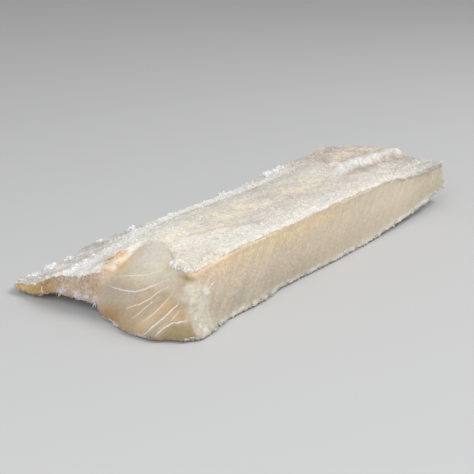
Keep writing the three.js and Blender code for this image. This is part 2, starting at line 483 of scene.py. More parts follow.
@dataclass(frozen=True)
class Tones:
    """Named tones of the fish, as linear reflectance."""

    flesh: Colour = (0.71, 0.59, 0.44)
    flesh_warm: Colour = (0.71, 0.56, 0.41)
    flesh_fan: Colour = (0.64, 0.49, 0.325)
    flesh_glow: Colour = (0.83, 0.665, 0.455)
    flesh_grey: Colour = (0.66, 0.575, 0.45)
    flesh_light: Colour = (0.76, 0.66, 0.51)
    scoop: Colour = (0.83, 0.77, 0.67)
    scoop_light: Colour = (0.88, 0.80, 0.59)
    scoop_low: Colour = (0.76, 0.68, 0.525)
    amber: Colour = (0.79, 0.50, 0.245)
    amber_deep: Colour = (0.60, 0.385, 0.175)
    amber_tip: Colour = (0.74, 0.52, 0.225)
    amber_pale: Colour = (0.84, 0.66, 0.44)
    tan: Colour = (0.71, 0.495, 0.28)
    ochre: Colour = (0.52, 0.40, 0.225)
    olive: Colour = (0.54, 0.47, 0.33)
    olive_light: Colour = (0.61, 0.55, 0.385)
    brown: Colour = (0.725, 0.54, 0.395)
    stain: Colour = (0.76, 0.43, 0.17)
    pit: Colour = (0.42, 0.33, 0.11)
    gold: Colour = (0.82, 0.66, 0.43)
    orange: Colour = (0.85, 0.645, 0.45)
    frost: Colour = (0.78, 0.75, 0.67)
    pale: Colour = (0.84, 0.79, 0.70)
    membrane: Colour = (0.84, 0.78, 0.86)
    pillar: Colour = (0.76, 0.70, 0.57)
    crust: Colour = (0.92, 0.866, 0.775)
    crust_warm: Colour = (0.83, 0.765, 0.635)
    crust_mauve: Colour = (0.70, 0.655, 0.635)
    crust_beige: Colour = (0.65, 0.595, 0.53)
    crust_gold: Colour = (0.90, 0.79, 0.58)
    crust_grey: Colour = (0.75, 0.745, 0.73)
    crust_dull: Colour = (0.55, 0.54, 0.495)
    plateau: Colour = (0.70, 0.59, 0.49)
    # Painted shade, laid in creases, in the groove at the fold's foot and in pits beside the white notch.
    hollow_shade: Colour = (0.55, 0.45, 0.36)
    salt: Colour = (0.93, 0.90, 0.855)
    clump: Colour = (0.88, 0.875, 0.855)
    seam: Colour = (0.855, 0.775, 0.66)
    skin: Colour = (0.50, 0.49, 0.45)
    skin_dark: Colour = (0.30, 0.29, 0.27)


@dataclass(frozen=True)
class Wiring:
    """Adds nodes to a material's tree and links them.

    Args:
        tree: the tree.
    """

    tree: bpy.types.NodeTree

    def _made(self, kind: str, **inputs: float | bpy.types.NodeSocket) -> bpy.types.Node:
        """Adds a node with some of its inputs set or linked.

        Args:
            kind: the node's type.
            inputs: numbers or outputs by the input's name, with _ for a space.

        Returns:
            The new node.
        """
        node = self.tree.nodes.new(kind)
        for name, value in inputs.items():
            self.feed(node.inputs[name.replace("_", " ")], value)
        return node

    def feed(self, socket: bpy.types.NodeSocket, value: float | bpy.types.NodeSocket) -> None:
        """Sets an input to a number, or links it to an output.

        Args:
            socket: the input.
            value: the number or the output.
        """
        if isinstance(value, bpy.types.NodeSocket):
            self.tree.links.new(value, socket)
        else:
            socket.default_value = value

    def attribute(self, name: str, output: str) -> bpy.types.NodeSocket:
        """Reads an attribute of the mesh.

        Args:
            name: the attribute's name.
            output: which of the node's outputs to read.

        Returns:
            That output.
        """
        node = self._made("ShaderNodeAttribute")
        node.attribute_name = name
        return node.outputs[output]

    def cloud(self, size_mm: float, detail: float) -> bpy.types.NodeSocket:
        """Cloudy pattern.

        Args:
            size_mm: size of its patches.
            detail: how many finer patterns it adds.

        Returns:
            Values of about CLOUD_LOW to CLOUD_HIGH.
        """
        place = self._made("ShaderNodeTexCoord").outputs["Object"]
        node = self._made(
            "ShaderNodeTexNoise", Scale=1 / (size_mm * MM), Detail=detail, Roughness=0.6, Vector=place
        )
        return node.outputs["Fac"]

    def cells(self, size_mm: float) -> bpy.types.NodeSocket:
        """Pattern of cells.

        Args:
            size_mm: size of the cells.

        Returns:
            Distance to the middle of the nearest cell.
        """
        place = self._made("ShaderNodeTexCoord").outputs["Object"]
        node = self._made("ShaderNodeTexVoronoi", Scale=1 / (size_mm * MM), Vector=place)
        return node.outputs["Distance"]

    def swing(self, size_mm: float, share: float) -> bpy.types.NodeSocket:
        """Factor that swings about 1 by a share, in patches of a size."""
        return self.spread(self.cloud(size_mm, 3), CLOUD_LOW, CLOUD_HIGH, 1 - share, 1 + share)

    def spread(
        self, value: bpy.types.NodeSocket, start: float, end: float, low: float, high: float
    ) -> bpy.types.NodeSocket:
        """Moves one range of values onto another and holds them in it.

        Args:
            value: what to move.
            start: the value that becomes low.
            end: the value that becomes high.
            low: lower end of the new range.
            high: upper end of the new range.

        Returns:
            The moved value.
        """
        node = self._made(
            "ShaderNodeMapRange", Value=value, From_Min=start, From_Max=end, To_Min=low, To_Max=high
        )
        return node.outputs["Result"]

    def blend(
        self, share: bpy.types.NodeSocket, a: float | bpy.types.NodeSocket, b: float | bpy.types.NodeSocket
    ) -> bpy.types.NodeSocket:
        """Number a at share 0 and b at share 1."""
        return self._made("ShaderNodeMix", Factor=share, A=a, B=b).outputs["Result"]

    def product(self, a: bpy.types.NodeSocket, b: float | bpy.types.NodeSocket) -> bpy.types.NodeSocket:
        """Product of two numbers.

        Args:
            a: the first.
            b: the second.

        Returns:
            Their product.
        """
        node = self.tree.nodes.new("ShaderNodeMath")
        node.operation = "MULTIPLY"
        self.feed(node.inputs[0], a)
        self.feed(node.inputs[1], b)
        return node.outputs["Value"]

    def dimmed(self, colour: bpy.types.NodeSocket, factor: bpy.types.NodeSocket) -> bpy.types.NodeSocket:
        """Colour times a number.

        Args:
            colour: the colour.
            factor: the number.

        Returns:
            Their product.
        """
        node = self.tree.nodes.new("ShaderNodeVectorMath")
        node.operation = "SCALE"
        self.feed(node.inputs["Vector"], colour)
        self.feed(node.inputs["Scale"], factor)
        return node.outputs["Vector"]

    def bump(self, height: bpy.types.NodeSocket, full_mm: float) -> bpy.types.Node:
        """Normal of a surface that rises by a height, full_mm at 1."""
        return self._made("ShaderNodeBump", Strength=0.85, Distance=full_mm * MM, Height=height)


@dataclass(frozen=True)
class Finish:
    """Surface finish of flesh and salt.

    Args:
        name: the material's name.
        roughness: roughness of the bare flesh.
        crust_roughness: roughness under salt.
        subsurface: weight of light that goes through the flesh.
        radius_mm: how far red, green and blue travel in it.
        coat: weight of the thin brine film.
        coat_roughness: roughness of that film.
        ior: index of refraction.
        specular: strength of the plain reflection.
        grain_mm: size of the salt's grain in the bump.
        bump_mm: height of that grain.
        crag_mm: size of the crust's crags in the bump.
        crag_bump_mm: height of those crags.
        flesh_bump: share of the grain's height that bare flesh has.
        flesh_crags: share of the crags' height that bare flesh has.
        mottle: swing of the crust's brightness from patch to patch.
        flesh_mottle: share of the mottle that bare flesh has.
        speckle: swing of the brightness from grain to grain, where the speckle is strongest.
    """

    name: str
    roughness: float = 0.55
    crust_roughness: float = 0.68
    subsurface: float = 0.35
    radius_mm: tuple[float, float, float] = (5.0, 3.2, 1.8)
    coat: float = 0.05
    coat_roughness: float = 0.3
    ior: float = 1.42
    specular: float = 0.35
    grain_mm: float = 0.9
    bump_mm: float = 0.26
    crag_mm: float = 3.4
    crag_bump_mm: float = 1.5
    flesh_bump: float = 0.25
    flesh_crags: float = 0.12
    mottle: float = 0.15
    flesh_mottle: float = 0.45
    speckle: float = 0.27

    def material(self) -> bpy.types.Material:
        """Builds the material, which reads the mesh's tint, crust and speckle attributes.

        Returns:
            The new material.
        """
        made = bpy.data.materials.new(self.name)
        made.use_nodes = True
        shader = made.node_tree.nodes["Principled BSDF"]
        wiring = Wiring(made.node_tree)
        crust = wiring.attribute("crust", "Fac")
        crags = wiring.cloud(self.crag_mm, 4)
        speckle = wiring.swing(1.6 * self.grain_mm, self.speckle)
        speckle = wiring.blend(wiring.attribute("speckle", "Fac"), 1.0, speckle)
        patches = wiring.swing(0.8 * self.crag_mm, self.mottle)
        veil = wiring.spread(crust, 0, 1, self.flesh_mottle, 1)
        factor = wiring.product(speckle, wiring.blend(veil, 1.0, patches))
        wiring.feed(shader.inputs["Base Color"], wiring.dimmed(wiring.attribute("tint", "Color"), factor))
        wiring.feed(shader.inputs["Roughness"], wiring.blend(crust, self.roughness, self.crust_roughness))

        flesh_rise = wiring.product(wiring.cloud(0.7 * self.grain_mm, 4), self.flesh_bump)
        rise = wiring.blend(crust, flesh_rise, wiring.cells(self.grain_mm))
        crag_share = wiring.spread(crust, 0, 1, self.flesh_crags, 1)
        rocky = wiring.bump(wiring.product(crags, crag_share), self.crag_bump_mm)
        fine = wiring.bump(rise, self.bump_mm)
        wiring.feed(fine.inputs["Normal"], rocky.outputs["Normal"])
        wiring.feed(shader.inputs["Normal"], fine.outputs["Normal"])

        shader.inputs["Subsurface Weight"].default_value = self.subsurface
        radius = tuple(r / self.radius_mm[0] for r in self.radius_mm)
        shader.inputs["Subsurface Radius"].default_value = radius
        shader.inputs["Subsurface Scale"].default_value = self.radius_mm[0] * MM
        shader.inputs["Coat Weight"].default_value = self.coat
        shader.inputs["Coat Roughness"].default_value = self.coat_roughness
        shader.inputs["IOR"].default_value = self.ior
        shader.inputs["Specular IOR Level"].default_value = self.specular
        return made


FLESH = Finish("cod_flesh")
SALT = Finish("salt", crust_roughness=0.5, subsurface=0, bump_mm=0.05, crag_bump_mm=0, mottle=0.05)
SEAM = Finish("seam", subsurface=0, bump_mm=0.05, crag_bump_mm=0, mottle=0.05)


def linked(name: str, mesh: bpy.types.Mesh) -> bpy.types.Object:
    """Puts a mesh into the scene.

    Args:
        name: the piece's name.
        mesh: its mesh.

    Returns:
        The new object.
    """
    piece = bpy.data.objects.new(name, mesh)
    bpy.context.scene.collection.objects.link(piece)
    return piece


def new_object(name: str, made: bmesh.types.BMesh) -> bpy.types.Object:
    """Turns a bmesh into an object in the scene.

    Args:
        name: the piece's name.
        made: its geometry, freed here.

    Returns:
        The new object, smooth shaded.
    """
    mesh = bpy.data.meshes.new(name)
    made.to_mesh(mesh)
    made.free()
    mesh.shade_smooth()
    return linked(name, mesh)


def set_attributes(
    mesh: bpy.types.Mesh, tint: np.ndarray, crust: np.ndarray, speckle: np.ndarray | float = PLAIN_SPECKLE
) -> None:
    """Stores the tint, crust share and speckle of every vertex.

    Args:
        mesh: the mesh to mark.
        tint: linear colours, shape (n, 3).
        crust: salt cover from 0 to 1, shape (n,).
        speckle: strength of the fine speckle from 0 to 1, one for all or shape (n,).
    """
    colours = np.ones((len(tint), 4), np.float32)
    colours[:, :3] = np.clip(tint, 0.02, 0.95)
    layer = mesh.color_attributes.new("tint", "FLOAT_COLOR", "POINT")
    layer.data.foreach_set("color", colours.ravel())
    cover = mesh.attributes.new("crust", "FLOAT", "POINT")
    cover.data.foreach_set("value", np.clip(crust, 0, 1).astype(np.float32))
    fine = mesh.attributes.new("speckle", "FLOAT", "POINT")
    fine.data.foreach_set("value", (np.clip(speckle, 0, 1) * np.ones(len(tint))).astype(np.float32))


@dataclass
class Paint:
    """Builds up a colour per vertex from named tones.

    Args:
        colour: the linear colours so far, shape (n, 3).
    """

    colour: np.ndarray

    def over(self, tone: Colour, share: np.ndarray) -> None:
        """Lays a tone over the colour so far, by a share per vertex."""
        self.colour = mix(self.colour, np.asarray(tone, float), np.clip(share, 0, 1)[:, None])

    def shade(self, factor: np.ndarray) -> None:
        """Multiplies the colour so far by a factor per vertex."""
        self.colour *= factor[:, None]


@dataclass(frozen=True)
class Surface:
    """The loin's finished skin as arrays in millimetres, for what is bedded in it.

    Args:
        points: its vertices, shape (n, 3).
        normals: their normals, shape (n, 3).
        cover: their salt cover from 0 to 1, shape (n,).
        shares: their u, v, w, shape (n, 3).
        tint: their linear colours, shape (n, 3).
    """

    points: np.ndarray
    normals: np.ndarray
    cover: np.ndarray
    shares: np.ndarray
    tint: np.ndarray


@dataclass(frozen=True)
class Spot:
    """A small stained pit or bump, or a patch of painted shade.

    Args:
        place: its centre in millimetres.
        radius_mm: its reach.
        tone: its colour.
        share: how strong its tone is.
        depth_mm: how deep the pit is, negative for a bump.
    """

    place: tuple[float, float, float]
    radius_mm: float
    tone: Colour
    share: float
    depth_mm: float

    def near(self, p: np.ndarray) -> np.ndarray:
        """Closeness to the centre, 1 there, shape (n, 3) to (n,)."""
        return np.exp(-((np.linalg.norm(p - np.array(self.place), axis=1) / self.radius_mm) ** 3))


@dataclass(frozen=True)
class Crease:
    """A fold line on the top, seen in plan.

    Args:
        path: its places (x, y) in order.
        depth_mm: how deep it is, negative for a raised line.
        reach_mm: its half width.
    """

    path: tuple[tuple[float, float], ...]
    depth_mm: float
    reach_mm: float

    def near(self, p: np.ndarray) -> np.ndarray:
        """Closeness to the line, 1 on it, shape (n, 3) to (n,)."""
        distance, _ = from_path(p[:, :2], np.array(self.path, float))
        return np.exp(-((distance / self.reach_mm) ** 2))


@dataclass(frozen=True)
class Ground:
    """Vertices of the loin's skin, with the noise that its tints share.

    Args:
        q: their shares u, v, w, shape (n, 3).
        p: their places in millimetres, shape (n, 3).
        cover: their salt cover from 0 to 1, shape (n,).
        cloud: noise in broad clouds, shape (n,).
        grain: noise in fine grains, shape (n,).
    """

    q: np.ndarray
    p: np.ndarray
    cover: np.ndarray
    cloud: np.ndarray
    grain: np.ndarray


@dataclass(frozen=True)
class LoinBody:
    """The whole loin as one fine closed skin, with relief, tint and salt cover.

    Args:
        form: the loin's form.
        tones: its tones.
        seams: paths of the tissue seams on the thick cut.
        along: segments along it.
        across: segments across it.
        up: segments over its height.
        crust_relief_mm: height of the salt crust's relief.
        flesh_relief_mm: height of the relief on the cuts.
        flake_step_mm: height of the step of a flake beside its seam.
        cut_edge: share w where the crust ends on the thick cut, by share v.
        back_edge: share w where the crust ends on the back cut, by x.
        rim_edge: share v where the crust begins on the top, by x.
        lobe_edge: share u where the crust begins on the top beside the corner, by share v.
        fold: y of the white fold on the top towards the tail, by x.
        corner_left: x where the pale upright corner edge begins, by height.
        fan_root: y and z of the place on the thick cut from which the flakes fan out.
        cut_size: width and height of the thick cut, for distances on it.
        back_height: height of the back cut's upper edge.
        creases: fold lines on the top.
    """

    form: LoinForm
    tones: Tones
    seams: tuple["SeamPath", ...]
    along: int = 276
    across: int = 114
    up: int = 36
    crust_relief_mm: float = 1.15
    flesh_relief_mm: float = 0.32
    flake_step_mm: float = 0.35
    cut_edge: Stations = (
        (0, 1.05), (0.09, 1.03), (0.125, 0.985), (0.17, 0.985), (0.21, 1.0), (0.3, 1.05), (0.42, 1.05),
        (0.432, 0.86), (0.448, 0.8), (0.467, 0.79), (0.49, 0.83), (0.53, 0.86), (0.565, 0.84), (0.583, 0.78),
        (0.6, 0.87), (0.68, 0.9), (0.755, 0.86), (0.82, 0.95), (0.95, 0.93),
    )
    back_edge: Stations = (
        (-8, 1.05), (30, 1.05), (84, 1.01), (107, 0.99), (145, 1.0), (180, 1.02), (208, 1.02), (219, 0.99),
        (240, 0.985), (259, 0.92), (283, 0.865), (320, 0.85),
    )
    rim_edge: Stations = (
        (-6, 0.018), (0, 0.011), (8, 0.008), (20, 0.009), (33, 0.004), (48, 0.006), (61, 0.008), (84, 0.0),
        (110, -0.02), (130, -0.015), (150, 0.006), (202, 0.007), (214, -0.02),
    )
    lobe_edge: Stations = ((0, 0.017), (0.038, 0.012), (0.088, 0.004), (0.115, -0.001), (0.19, -0.01))
    fold: Stations = ((215, 43), (229, 46), (245, 49), (260, 50), (283, 47.5), (300, 46), (325, 44.5))
    corner_left: Stations = ((0, -6.0), (10, -7.0), (20, -8.0), (34, -5.0))
    fan_root: tuple[float, float] = (7.7, 33)
    cut_size: tuple[float, float] = (141, 42)
    back_height: float = 43
    creases: tuple[Crease, ...] = (
        Crease(((38, 136), (43.5, 120), (42, 101)), 1.4, 1.9),
        Crease(((37, 41), (65, 36), (94, 25)), 0.45, 2.6),
        Crease(((301, 35), (300, 17)), 0.8, 1.7),
        Crease(((252, 78), (248, 68), (240, 54)), 0.6, 2.6),
        Crease(((257, 76), (253, 66), (244, 52)), -0.45, 3.2),
    )

    def _spots(self) -> tuple[Spot, ...]:
        """Stained pits and raised salt by the scoop's belly end, under the lobe and on the tail plateau,
        with painted shade beside and below the white notch there.

        Returns:
            The spots, in the order in which they are laid.
        """
        t = self.tones
        return (
            Spot((-1.5, 67.6, 34.4), 3.6, t.pit, 1.0, 0.9),
            Spot((-4.2, 68.4, 33.0), 2.2, t.pit, 0.7, 0.6),
            Spot((4.8, 66.0, 36.5), 3.6, t.stain, 0.95, 0.8),
            Spot((0.2, 61.4, 31.2), 3.6, t.stain, 0.75, 0.6),
            Spot((-5.5, 66.4, 29.6), 2.4, t.stain, 0.6, 0.6),
            Spot((-0.5, 66.5, 31.5), 2.2, t.crust, 0.9, -1.4),
            Spot((2.2, 66.2, 33.6), 1.8, t.crust, 0.8, -1.2),
            Spot((-6.3, 4.6, 37.8), 2.4, t.pit, 0.85, 0.8),
            Spot((267, 66, 43.6), 3.4, t.amber_pale, 0.85, 0.2),
            Spot((242.5, 58.5, 44.5), 3.2, t.salt, 0.85, -1.2),
            Spot((247.5, 59.5, 44.5), 2.4, t.salt, 0.6, -0.8),
            # The next two are painted shade in shallow pits to the side of and below the white notch.
            Spot((240.5, 66.5, 44.2), 4.0, t.crust_mauve, 0.6, 0.9),
            Spot((233.5, 55.5, 43.8), 3.2, t.hollow_shade, 0.4, 0.6),
            Spot((297, 72, 42.8), 7.0, t.olive_light, 0.45, 0.0),
            Spot((308, 102, 35.6), 7.0, t.olive_light, 0.4, 0.0),
            Spot((24, -0.5, 37), 5.0, t.orange, 0.6, 0.0),
            Spot((3.4, 18.5, 41), 3.2, t.salt, 0.8, -1.7),
        )

    def _block(self) -> tuple[bmesh.types.BMesh, np.ndarray]:
        """Cuts a unit block into a grid.

        Returns:
            The block, and its vertices' shares u, v, w, shape (n, 3).
        """
        made = bmesh.new()
        bmesh.ops.create_cube(made, size=1)
        for axis, count in enumerate((self.along, self.across, self.up)):
            edges = [e for e in made.edges if abs(e.verts[0].co[axis] - e.verts[1].co[axis]) > 1e-6]
            bmesh.ops.subdivide_edges(made, edges=edges, cuts=count - 1, use_grid_fill=True)
        q = np.array([v.co for v in made.verts]) + 0.5
        return made, q

    def _stations(self, q: np.ndarray) -> np.ndarray:
        """Spreads the grid so that more of its rows lie on the rounded edges and the thick cut.

        Args:
            q: the vertices' shares u, v, w, shape (n, 3).

        Returns:
            The eased shares, shape (n, 3).
        """
        eased = q.copy()
        eased[:, 0] = q[:, 0] - 0.022 * np.sin(2 * np.pi * q[:, 0])
        eased[:, 1] = q[:, 1] - 0.012 * np.sin(2 * np.pi * q[:, 1])
        return eased

    def build(self) -> tuple[bpy.types.Object, Surface]:
        """Makes the piece.

        Returns:
            The loin in millimetres, before it is moved into the part's frame, and its surface.
        """
        made, q = self._block()
        q = self._stations(q)
        p = self.form.points(q)
        for vert, place in zip(made.verts, p):
            vert.co = place
        piece = new_object("loin", made)
        mesh = piece.data
        cover = self._salt_cover(q, p)
        p = p + self._normals(mesh) * self._relief(q, p, cover)[:, None]
        p[:, 2] = np.maximum(p[:, 2], 0)
        mesh.vertices.foreach_set("co", p.ravel().astype(np.float32))
        mesh.update()
        tint = self._tint(q, p, cover)
        set_attributes(mesh, tint, cover, self._speckle(q, p, cover))
        return piece, Surface(p, self._normals(mesh), cover, q, tint)

    def _normals(self, mesh: bpy.types.Mesh) -> np.ndarray:
        """Reads the normals of a mesh.

        Args:
            mesh: the mesh.

        Returns:
            Its vertices' normals, shape (n, 3).
        """
        normal = np.empty(len(mesh.vertices) * 3, np.float32)
        mesh.vertex_normals.foreach_get("vector", normal)
        return normal.reshape(-1, 3)

    def _salt_cover(self, q: np.ndarray, p: np.ndarray) -> np.ndarray:
        """Works out where the salt crust lies.

        Args:
            q: the vertices' shares u, v, w, shape (n, 3).
            p: their places in millimetres, shape (n, 3).

        Returns:
            Cover from 0 on bare flesh to 1, shape (n,).
        """
        u, v, w = q.T
        x, _, z = p.T
        edge = Pattern.CRUST_EDGE.noise.layers(p, 7, 4, 0.7)
        rugged = Pattern.RUGGED.noise.layers(p, 4.2, 3, 0.8)
        on_top = w > AT_END
        above = z - along(self.form.tail_lift, x)
        rim = along(self.rim_edge, x) + 0.008 * edge + 0.004 * rugged
        lip = band(v, 0.27, 0.43, 0.03) * (1 - smooth(0.0, 0.016, u + 0.006 * rugged))
        lobe = along(self.lobe_edge, v) + 0.003 * rugged
        top = on_top * smooth(rim - 0.004, rim + 0.004, v) * (1 - 0.8 * lip)
        top *= smooth(lobe - 0.002, lobe + 0.002, u)
        flap = smooth(0.42, 0.46, v)
        end = along(self.cut_edge, v) + mix(0.02 * edge + 0.015 * rugged, 0.06 * edge + 0.11 * rugged, flap)
        cut = (u < AT_START) * ~on_top * smooth(end - 0.02, end + 0.02, w)
        end = along(self.back_edge, x) + 0.03 * edge + 0.022 * rugged
        back = (v < AT_START) * ~on_top * smooth(end - 0.012, end + 0.012, w)
        belly = (v > AT_END) * smooth(0.15, 0.4, w)
        tail = (u > AT_END) * ~on_top * smooth(0.88, 0.94, w + 0.05 * edge)
        foot = 0.85 * (1 - smooth(1.0, 4.5, above + 3.5 * rugged)) * (v < 0.02) * smooth(10, 40, x)
        ledge = band(v, 0.32, 0.41, 0.02) + 0.6 * hump(v, 0.18, 0.015)
        base = 0.85 * (u < AT_START) * ledge * (1 - smooth(0.03, 0.11, w + 0.05 * rugged))
        corner = 0.45 * self._corner(q, p) * smooth(-0.2, 0.5, rugged)
        far_corner = 0.8 * smooth(0.982, 0.994, u + 0.004 * rugged) * (v < 0.03)
        far_corner *= smooth(0.2, 0.6, w + 0.1 * rugged)
        covers = [top, cut, back, belly, tail, foot, base, corner, far_corner]
        return np.clip(np.maximum.reduce(covers), 0, 1)

    def _corner(self, q: np.ndarray, p: np.ndarray) -> np.ndarray:
        """Finds the pale upright edge between thick cut and back cut.

        Args:
            q: the vertices' shares u, v, w, shape (n, 3).
            p: their places in millimetres, shape (n, 3).

        Returns:
            1 on it and 0 off it, shape (n,).
        """
        bend = Pattern.CORNER_BEND.noise.layers(p, 8, 3, 0.7)
        left = along(self.corner_left, p[:, 2]) + 0.9 * bend
        right = 8.5 + 2.6 * bend + 2.0 * (1 - smooth(2, 9, p[:, 2]))
        across = smooth(left - 0.7, left + 0.7, p[:, 0]) * (1 - smooth(right - 2.5, right + 2.0, p[:, 0]))
        return (q[:, 1] < 0.02) * across * (1 - smooth(0.68, 0.82, q[:, 2] + 0.05 * bend))

    def _near(self, q: np.ndarray, p: np.ndarray) -> np.ndarray:
        """Finds the thick cut and the strip of the back cut that still belongs to it.

        Args:
            q: the vertices' shares u, v, w, shape (n, 3).
            p: their places in millimetres, shape (n, 3).

        Returns:
            1 on them and 0 off them, shape (n,).
        """
        left = along(self.corner_left, p[:, 2])
        wrapped = (q[:, 1] < 0.02) * (1 - smooth(left - 0.8, left + 0.8, p[:, 0])) * (q[:, 2] < 0.98)
        return np.maximum(1 - smooth(0.004, 0.012, q[:, 0]), wrapped)

    def _on_back(self, q: np.ndarray) -> np.ndarray:
        """1 on the back cut and 0 off it, shape (n, 3) to (n,)."""
        return 1 - smooth(0.012, 0.022, q[:, 1])

    def _roll(self, q: np.ndarray, inward: float, reach: float) -> np.ndarray:
        """Finds the rolled edge of the crust's lobe.

        Args:
            q: the vertices' shares u, v, w, shape (n, 3).
            inward: how far it peaks inward of where the crust begins, as a share of the length.
            reach: its half width, as the same kind of share.

        Returns:
            Closeness to it, 1 on it, shape (n,).
        """
        u, v, _ = q.T
        return hump(u, along(self.lobe_edge, v) + inward, reach) * (1 - smooth(0.15, 0.2, v))

    def _fibres(self, p: np.ndarray, forward: float, up: float) -> np.ndarray:
        """Squeezes points along the muscle fibres, which lean in the back cut, for streaked noise.

        Args:
            p: the points in millimetres, shape (n, 3).
            forward: what is left of the way along the loin.
            up: what is left of the height.

        Returns:
            The squeezed points, shape (n, 3).
        """
        x, y, z = p.T
        return np.stack([x * 0.8 - z * 0.55, y, x * forward + z * up], axis=1)

    def _relief(self, q: np.ndarray, p: np.ndarray, cover: np.ndarray) -> np.ndarray:
        """Works out the fine relief along the surface normal.

        Args:
            q: the vertices' shares u, v, w, shape (n, 3).
            p: their places in millimetres, shape (n, 3).
            cover: their salt cover, shape (n,).

        Returns:
            Heights in millimetres, shape (n,).
        """
        u, v, w = q.T
        x, y, z = p.T
        on_top = w > AT_END
        above = z - along(self.form.tail_lift, x)
        crags = Pattern.CRAGS.noise.layers(p, 8.5, 4, 0.62)
        clumps = np.maximum(Pattern.CLUMPS.noise.at(p, 3.6), 0) ** 1.2
        clumps += np.maximum(Pattern.LARGE_CLUMPS.noise.at(p, 6.1), 0) ** 2
        lively = 0.6 + 0.6 * hump(y, 4, 7) + 0.5 * hump(y, 100, 9) * (1 - smooth(40, 70, x))
        lively += 0.5 * (u < AT_START)
        crust = self.crust_relief_mm * lively * (crags + 0.9 * clumps)
        streaks = Pattern.STREAKS.noise.layers(self._fibres(p, 0.1, 0.1), 5.5, 3)
        flesh = self.flesh_relief_mm * (0.7 * streaks + 0.6 * crags)
        ragged = Pattern.RAGGED.noise.layers(p, 4.4, 3, 0.85)
        edges = 2.2 * smooth(0.95, 1, v) + 2.9 * (1 - smooth(1.5, 6, above)) * (v < 0.02) * smooth(-4, 8, x)
        edges += 1.8 * (u < AT_START) * (1 - smooth(0.03, 0.12, w)) + 1.8 * smooth(0.985, 1, u)
        height = mix(flesh + self._flakes(q), crust, cover) + edges * ragged
        height += 0.7 * self._corner(q, p) * (0.4 + crags)
        crusted = smooth(0.2, 0.8, cover)
        shelf = (u < AT_START) * band(v, 0.51, 0.6, 0.02) * smooth(0.3, 0.8, cover)
        height += 0.9 * shelf * (0.4 + 1.4 * ragged)
        for crease in self.creases:
            height -= on_top * crease.depth_mm * crease.near(p)
        for spot in self._spots():
            height -= spot.depth_mm * spot.near(p)
        height += on_top * self._fold(p, crags)
        height += on_top * 0.8 * hump(y, 3.2, 2.6) * (0.8 + 1.2 * crags) * crusted
        lip = hump(w, along(self.back_edge, x) + 0.01, 0.022) * (v < AT_START) * crusted
        roll = self._roll(q, 0.007, 0.006) * crusted
        bare = (1 - cover) * (1 - smooth(0.12, 0.18, v)) * (1 - smooth(0.02, 0.035, u))
        bare *= smooth(0.9, 0.97, w)
        height += 1.1 * lip * (0.9 + crags) + on_top * 1.6 * roll * (0.8 + 1.3 * crags) - 0.6 * bare
        return height * smooth(0, 0.03, w)

    def _fold(self, p: np.ndarray, crags: np.ndarray) -> np.ndarray:
        """Works out the fold's rough crest towards the tail and the groove at its foot.

        Args:
            p: the vertices' places in millimetres, shape (n, 3).
            crags: the crust's coarse noise, shape (n,).

        Returns:
            Heights in millimetres, shape (n,).
        """
        x, y = p[:, 0], p[:, 1]
        fold = along(self.fold, x) + 2.5 * crags
        crest = 0.9 * hump(y, fold, 2.8) * (1 + 1.6 * crags)
        return smooth(222, 250, x) * (crest - 0.8 * hump(y, fold - 7.5, 2.6))

    def _from_seams(self, q: np.ndarray) -> tuple[np.ndarray, np.ndarray, np.ndarray]:
        """Measures the thick cut's vertices from every seam there.

        Args:
            q: the vertices' shares u, v, w, shape (n, 3).

        Returns:
            Indices of the k vertices, and their distances and sides by seam, both of shape (seams, k).
        """
        on_cut = np.flatnonzero(q[:, 0] < AT_START)
        scale = np.array(self.cut_size, float)
        lines = [np.stack(path.line(np.linspace(0, 1, 13)), axis=1) * scale for path in self.seams]
        found = [from_path(q[on_cut, 1:] * scale, line) for line in lines]
        return on_cut, np.array([f[0] for f in found]), np.array([f[1] for f in found])

    def _flakes(self, q: np.ndarray) -> np.ndarray:
        """Works out the steps between flakes on the thick cut.

        Args:
            q: the vertices' shares u, v, w, shape (n, 3).

        Returns:
            Heights in millimetres, shape (n,).
        """
        height = np.zeros(len(q))
        on_cut, distance, side = self._from_seams(q)
        fall = np.exp(-((distance / 2.6) ** 2)) * np.where(side > 0, 1.0, -0.6)
        height[on_cut] = self.flake_step_mm * fall.sum(axis=0)
        return height

    def _speckle(self, q: np.ndarray, p: np.ndarray, cover: np.ndarray) -> np.ndarray:
        """Works out how strong the fine speckle is: strongest on the torn flap, weak on the rims.

        Args:
            q: the vertices' shares u, v, w, shape (n, 3).
            p: their places in millimetres, shape (n, 3).
            cover: their salt cover, shape (n,).

        Returns:
            Strengths from 0 to 1, shape (n,).
        """
        x, y, _ = p.T
        near = self._near(q, p)
        side = self._on_back(q) * (1 - near)
        strength = np.full(len(q), PLAIN_SPECKLE)
        strength = mix(strength, 0.55 - 0.25 * smooth(60, 220, x), side * (1 - cover))
        strength = mix(strength, 1.0, near * smooth(0.45, 0.5, q[:, 1]) * (1 - cover))
        strength = mix(strength, 0.2, cover * (1 - smooth(20, 30, y)) * (1 - smooth(200, 260, x)))
        strength = mix(strength, 0.4, cover * smooth(200, 250, x) * smooth(14, 24, y))
        return mix(strength, 0.5, cover * smooth(84, 104, y))

